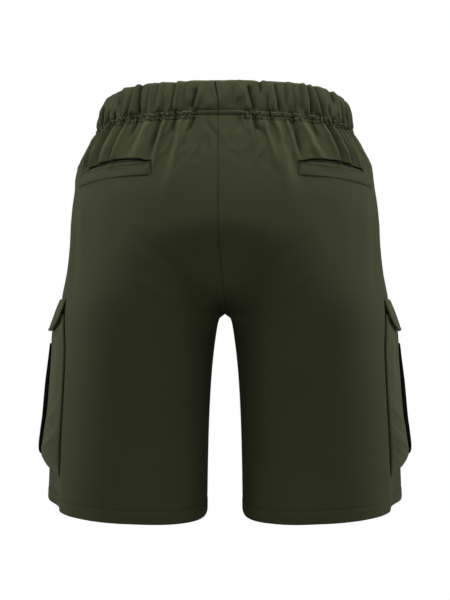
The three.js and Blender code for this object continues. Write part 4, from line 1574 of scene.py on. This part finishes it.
def tone_group():
    group, given, result = new_group(
        "Uneven tone",
        [("Colour", COLOUR, (0.1, 0.1, 0.1, 1)), ("Amount", FLOAT, 0.1), ("Streaks", FLOAT, 0.05)],
        [("Colour", COLOUR)],
    )
    place = node(group, "ShaderNodeTexCoord").outputs["Object"]
    broad = node(group, "ShaderNodeTexNoise", Vector=place, Scale=14.0, Detail=3.0, Roughness=0.5)
    streak_place = node(group, "ShaderNodeMapping", Vector=place, Scale=(420.0, 420.0, 24.0)).outputs[0]
    streaks = node(group, "ShaderNodeTexNoise", Vector=streak_place, Scale=1.0, Detail=2.0)
    broad_part, fine_part = (
        maths(group, "MULTIPLY", maths(group, "SUBTRACT", noise.outputs[0], 0.5), given.outputs[strength])
        for noise, strength in ((broad, "Amount"), (streaks, "Streaks"))
    )
    tone = maths(group, "ADD", maths(group, "ADD", broad_part, fine_part), 1.0)
    fill(group, result.inputs, Colour=shaded(group, given.outputs["Colour"], tone))
    return group


# %% [markdown]
# ### Along the seams, with painted shade and highlights
# A seam is handled and rubbed more than the cloth beside it, and its folded layers catch a little
# dust. So the colour shifts slightly at sewn edges, which the "seam" value marks. The same group also
# paints light and shade: where the painted shading value is high the cloth lies in a crack, and
# painted shade darkens it; on a ridge the value is less than 0, and a painted highlight lightens it.

# %% Seam group


def seam_wear_and_shade_group():
    group, given, result = new_group(
        "Seam wear and painted shade",
        [("Colour", COLOUR, (0.1, 0.1, 0.1, 1)), ("Worn", COLOUR, (0.2, 0.2, 0.2, 1)),
         ("Amount", FLOAT, 0.2), ("Painted shade depth", FLOAT, 0.72)],
        [("Colour", COLOUR)],
    )
    near, painted_shading = point_value(group, "seam"), point_value(group, "painted_shading")
    place = node(group, "ShaderNodeTexCoord").outputs["Object"]
    patchy = node(group, "ShaderNodeTexNoise", Vector=place, Scale=160.0, Detail=2.0).outputs[0]
    mask = maths(group, "MULTIPLY", maths(group, "MULTIPLY", near, patchy), given.outputs["Amount"])
    worn = mixed(group, mask, given.outputs["Colour"], given.outputs["Worn"])
    # Painted shade darkens the colour where the painted shading value is high; below 0 it is a painted
    # highlight.
    shade = maths(group, "SUBTRACT", 1.0, maths(group, "MULTIPLY", painted_shading, given.outputs["Painted shade depth"]))
    fill(group, result.inputs, Colour=shaded(group, worn, shade))
    return group


# %% [markdown]
# ### Beads of a gathered seam
# Between two stitches the gathered cloth bulges, and beside them it is pinned down in a dimple.
# A Voronoi texture gives that pattern as painted light and shade and as bumps: small rounded cells,
# about two to the height of the roll, with a painted highlight in their middles and painted shade
# along their sunk borders. It is laid out by a UV map of its own, which runs level round the waist,
# and the "beads" value keeps it to the waist seam.

# %% Bead group
BEAD_PITCH, BEAD_ROW = 2.3, 2.4  # the size of a cell in millimetres
BEAD_MIDDLE, BEAD_BORDER = 0.34, 0.56  # between these distances from its middle a cell sinks


def bead_shading_group():
    group, given, result = new_group(
        "Gathered beads, painted light and shade",
        [("Colour", COLOUR, (0.1, 0.1, 0.1, 1)), ("Light", FLOAT, 0.55), ("Depth", FLOAT, 1.15)],
        [("Colour", COLOUR), ("Height", FLOAT)],
    )
    where = point_value(group, "beads")
    place = node(group, "ShaderNodeUVMap", {"uv_map": "Round the waist"}).outputs[0]
    sized = node(group, "ShaderNodeMapping", Vector=place, Scale=(1 / BEAD_PITCH, 1 / BEAD_ROW, 1)).outputs[0]
    flat = {"voronoi_dimensions": "2D"}
    cells = node(group, "ShaderNodeTexVoronoi", flat, Vector=sized, Scale=1.0, Randomness=0.9)
    eased = {"interpolation_type": "SMOOTHSTEP"}
    away = cells.outputs["Distance"]
    sunk = node(group, "ShaderNodeMapRange", eased, i0=away, i1=BEAD_MIDDLE, i2=BEAD_BORDER).outputs[0]
    # Painted shade in the dimples along the cell borders and a painted highlight in the cell middles; the
    # same value drives the bumps.
    dimple = maths(group, "MULTIPLY", sunk, given.outputs["Depth"])
    change = maths(group, "SUBTRACT", given.outputs["Light"], dimple)
    shade = maths(group, "ADD", 1.0, maths(group, "MULTIPLY", change, where))
    fill(group, result.inputs, Colour=shaded(group, given.outputs["Colour"], shade), Height=shade)
    return group


# %% [markdown]
# ### The finishes
# Four finishes dress the garment: the olive twill of the panels and the band, a slightly lighter copy
# of it for the thigh pockets and flaps, whose extra lightness is painted light for the side light they
# catch, the black tape and the sewing thread. They are one recipe with other values: base colour,
# tone, seam wear with painted shade, weave height, roughness and sheen.

# %% Cloth finishes
WEAVE, TONE, SEAM_AND_SHADE, BEAD_SHADING = weave_group(), tone_group(), seam_wear_and_shade_group(), bead_shading_group()
OLIVE = (0.072, 0.080, 0.0365)
OLIVE_WORN = (0.098, 0.107, 0.051)
# The pockets and flaps are the olive twill made lighter: painted light for the side light that falls on them.
OLIVE_POCKET_PAINTED_LIGHT = (0.091, 0.101, 0.048)
BLACK, BLACK_WORN = (0.003, 0.003, 0.003), (0.01, 0.01, 0.01)
THREAD = (0.058, 0.065, 0.031)
OLIVE_SHEEN, PLAIN_SHEEN = (0.66, 0.73, 0.42), (1, 1, 1)
# Painted shade between the ridges of the weave: the cloth there is darkened by this share.
WEAVE_PAINTED_SHADE = 0.16  # how much darker the cloth is between two ridges than on them
BEAD_RELIEF, WEAVE_RELIEF = 0.0018, 0.00012  # metres


def cloth_finish(name, colour, worn, uneven, pitch, bump, roughness, sheen, tint=OLIVE_SHEEN, shine=0.16):
    """One cloth: uneven is how uneven its tone is, pitch the millimetres between two ridges."""
    material = bpy.data.materials.new(name)
    material.use_nodes = True
    tree = material.node_tree

    def effect(group, **inputs):
        return node(tree, "ShaderNodeGroup", {"node_tree": group}, **inputs).outputs

    tone = effect(TONE, Colour=(*colour, 1), Amount=uneven, Streaks=uneven * 0.5)
    seam = effect(SEAM_AND_SHADE, Worn=(*worn, 1), Colour=tone["Colour"])
    beads = effect(BEAD_SHADING, Colour=seam["Colour"])
    weave = effect(WEAVE, Pitch=pitch)
    lit = maths(tree, "ADD", maths(tree, "MULTIPLY", weave["Height"], WEAVE_PAINTED_SHADE), 1 - WEAVE_PAINTED_SHADE / 2)
    woven = shaded(tree, beads["Colour"], lit)
    rough = maths(tree, "ADD", maths(tree, "MULTIPLY", weave["Thread"], 0.1), roughness - 0.05)
    lumps = node(tree, "ShaderNodeBump", Strength=1.0, Distance=BEAD_RELIEF, Height=beads["Height"])
    relief = node(tree, "ShaderNodeBump", Strength=bump, Distance=WEAVE_RELIEF, Height=weave["Height"],
                  Normal=lumps.outputs[0])
    fill(
        tree,
        tree.nodes["Principled BSDF"].inputs,
        Base_Color=woven,
        Roughness=rough,
        Normal=relief.outputs[0],
        Sheen_Weight=sheen,
        Sheen_Roughness=0.4,
        Sheen_Tint=(*tint, 1),
        Specular_IOR_Level=shine,
    )
    return material


finishes = {
    "olive_twill": cloth_finish("Olive twill", OLIVE, OLIVE_WORN, 0.16, 0.55, 0.5, 0.82, 0.05),
    "olive_pocket": cloth_finish("Olive pocket twill, painted light", OLIVE_POCKET_PAINTED_LIGHT, OLIVE_WORN, 0.14, 0.55, 0.5, 0.80, 0.06),
    "black_cloth": cloth_finish("Black tape", BLACK, BLACK_WORN, 0.2, 1.3, 0.8, 0.9, 0.0, PLAIN_SHEEN, 0.03),
    "thread": cloth_finish("Olive thread", THREAD, OLIVE_WORN, 0.1, 0.3, 0.4, 0.6, 0.08),
}
for pieces, finish in (
    ([*panels.values(), *welts.values(), waistband], "olive_twill"),
    ([*pockets.values(), *flaps.values()], "olive_pocket"),
    (strips.values(), "black_cloth"),
    (threads.values(), "thread"),
):
    for piece in pieces:
        piece.data.materials.append(finishes[finish])
print("finishes:", list(finishes))

# %% [markdown]
# ## What each piece was cut to
# A pattern maker lays every piece flat. The sizes here are in metres, for the cloth that shows: a
# strip for the band, two trapezoids for a leg panel and rectangles for the small pieces. Their widths
# and lengths follow the form's own. Their areas are those of the flat outlines and aren't summed up
# from the meshes, so cloth that had been stretched or crumpled up would differ from its cut.

# %% Flat sizes
BAND_CUT = (1.000, 0.045)
PANEL_CUT = {"back": (0.35, 0.49), "front": (0.33, 0.455)}
HEM_CUT = 0.30
WELT_CUT = (0.118, 0.024)
POCKET_CUT = (0.200, 0.195)
FLAP_CUT = (0.175, 0.045)
STRIP_CUT = (0.035, 0.130)


def panel_area(face):
    """One trapezoid from the waist to the crotch, where a panel is widest, and one down to the hem."""
    width, length = PANEL_CUT[face]
    waist = BAND_CUT[0] / 4
    rise = length * RISE / LENGTH
    return (waist + width) / 2 * rise + (width + HEM_CUT) / 2 * (length - rise)


def declare_sheet(piece, flat, area=None):
    """States a piece's flat width and length, and its area if it isn't a rectangle."""
    print(f"{piece.name}: {flat[0]:.3f} x {flat[1]:.3f} m, {area or flat[0] * flat[1]:.4f} m2")


for label in SIDES:
    for face in ("back", "front"):
        panel = panels[f"{face}_panel_{label}"]
        declare_sheet(panel, PANEL_CUT[face], panel_area(face))
    declare_sheet(welts[label], WELT_CUT)
    declare_sheet(pockets[label], POCKET_CUT)
    declare_sheet(flaps[label], FLAP_CUT)
    declare_sheet(strips[label], STRIP_CUT)
declare_sheet(waistband, BAND_CUT)

# %% [markdown]
# ## Floor, light and camera
# The garment is shown as in a plain white studio. The floor is a broad pale sheet just below the hems.
# Two tall soft lights stand to the left and right, a little behind the garment as the camera sees
# it, so that they graze its sides and bring out every fold. Two wide soft lights hang above: a strong
# one for the waistband and the seat, and a weak one nearer the camera that softens the shadows.
# The rest of the studio is almost dark, so the middle of the back stays in soft shade. Only the
# camera sees floor and background as white.

# %% Studio
STUDIO_WHITE = (1.0, 1.0, 1.0, 1.0)
FLOOR_GREY = (0.75, 0.75, 0.75, 1)
FLOOR_GAP, FLOOR_SIZE = 0.03, 30.0
AMBIENT = 0.005
MIDDLE = (0.0, 0.0, -0.2)
SIDE_LIGHT = {"width": 0.4, "height": 1.0, "power": 11.3}
HIGH_LIGHT = {"width": 1.0, "height": 0.4, "power": 6.0}
FILL_LIGHT = {"width": 1.2, "height": 0.5, "power": 1.85}
floor_height = cad_low.z - FLOOR_GAP


def make_floor():
    square = ((-1, -1), (1, -1), (1, 1), (-1, 1))
    corners = [(x * FLOOR_SIZE, y * FLOOR_SIZE, floor_height) for x, y in square]
    floor = new_mesh("floor", np.array(corners) / MM, np.array([[0, 1, 2, 3]]))
    material = bpy.data.materials.new("Studio floor")
    material.use_nodes = True
    tree = material.node_tree
    shader = tree.nodes["Principled BSDF"]
    fill(tree, shader.inputs, Base_Color=FLOOR_GREY, Roughness=0.9)
    seen = node(tree, "ShaderNodeLightPath").outputs["Is Camera Ray"]
    glow = node(tree, "ShaderNodeEmission", Color=STUDIO_WHITE, Strength=1.0)
    blend = node(tree, "ShaderNodeMixShader", i0=seen, i1=shader.outputs[0], i2=glow.outputs[0])
    fill(tree, tree.nodes["Material Output"].inputs, Surface=blend.outputs[0])
    floor.data.materials.append(material)


def make_world():
    world = bpy.data.worlds.new("Studio")
    world.use_nodes = True
    tree = world.node_tree
    seen = node(tree, "ShaderNodeLightPath").outputs["Is Camera Ray"]
    level = mixed(tree, seen, (AMBIENT, AMBIENT, AMBIENT, 1), STUDIO_WHITE)
    fill(tree, tree.nodes["Background"].inputs, Color=level)
    bpy.context.scene.world = world


def soft_light(name, place, width, height, power):
    """An area light of a width and a height in metres, aimed at the garment's middle."""
    light = bpy.data.lights.new(name, "AREA")
    light.shape = "RECTANGLE"
    light.size, light.size_y = width, height
    light.energy = power
    lamp = bpy.data.objects.new(name, light)
    bpy.context.scene.collection.objects.link(lamp)
    lamp.location = place
    direction = np.array(MIDDLE) - np.array(place)
    lamp.rotation_mode = "QUATERNION"
    lamp.rotation_quaternion = Vector(direction).to_track_quat("-Z", "Y")


make_floor()
make_world()
for label, hand in SIDES.items():
    soft_light(f"light_{label}", (hand * 1.64, -0.14, -0.1), **SIDE_LIGHT)
soft_light("light_above", (0, 0.27, 0.65), **HIGH_LIGHT)
soft_light("light_above_camera", (0, 0.9, 0.8), **FILL_LIGHT)

# %% Camera
CAMERA_DISTANCE = 1.8
CAMERA_HEIGHT = -0.225
FRAME_HEIGHT = 0.732  # metres seen from top to bottom at the garment's middle
camera_data = bpy.data.cameras.new("camera")
camera_data.sensor_width = 36
camera_data.lens = camera_data.sensor_width * CAMERA_DISTANCE / FRAME_HEIGHT
camera = bpy.data.objects.new("camera", camera_data)
camera.location = (0, CAMERA_DISTANCE, CAMERA_HEIGHT)
camera.rotation_euler = (math.pi / 2, 0, math.pi)
bpy.context.scene.collection.objects.link(camera)
bpy.context.scene.camera = camera
bpy.context.scene.view_settings.view_transform = "Standard"
print("lens", round(camera_data.lens, 1), "mm, floor at", round(floor_height, 3))
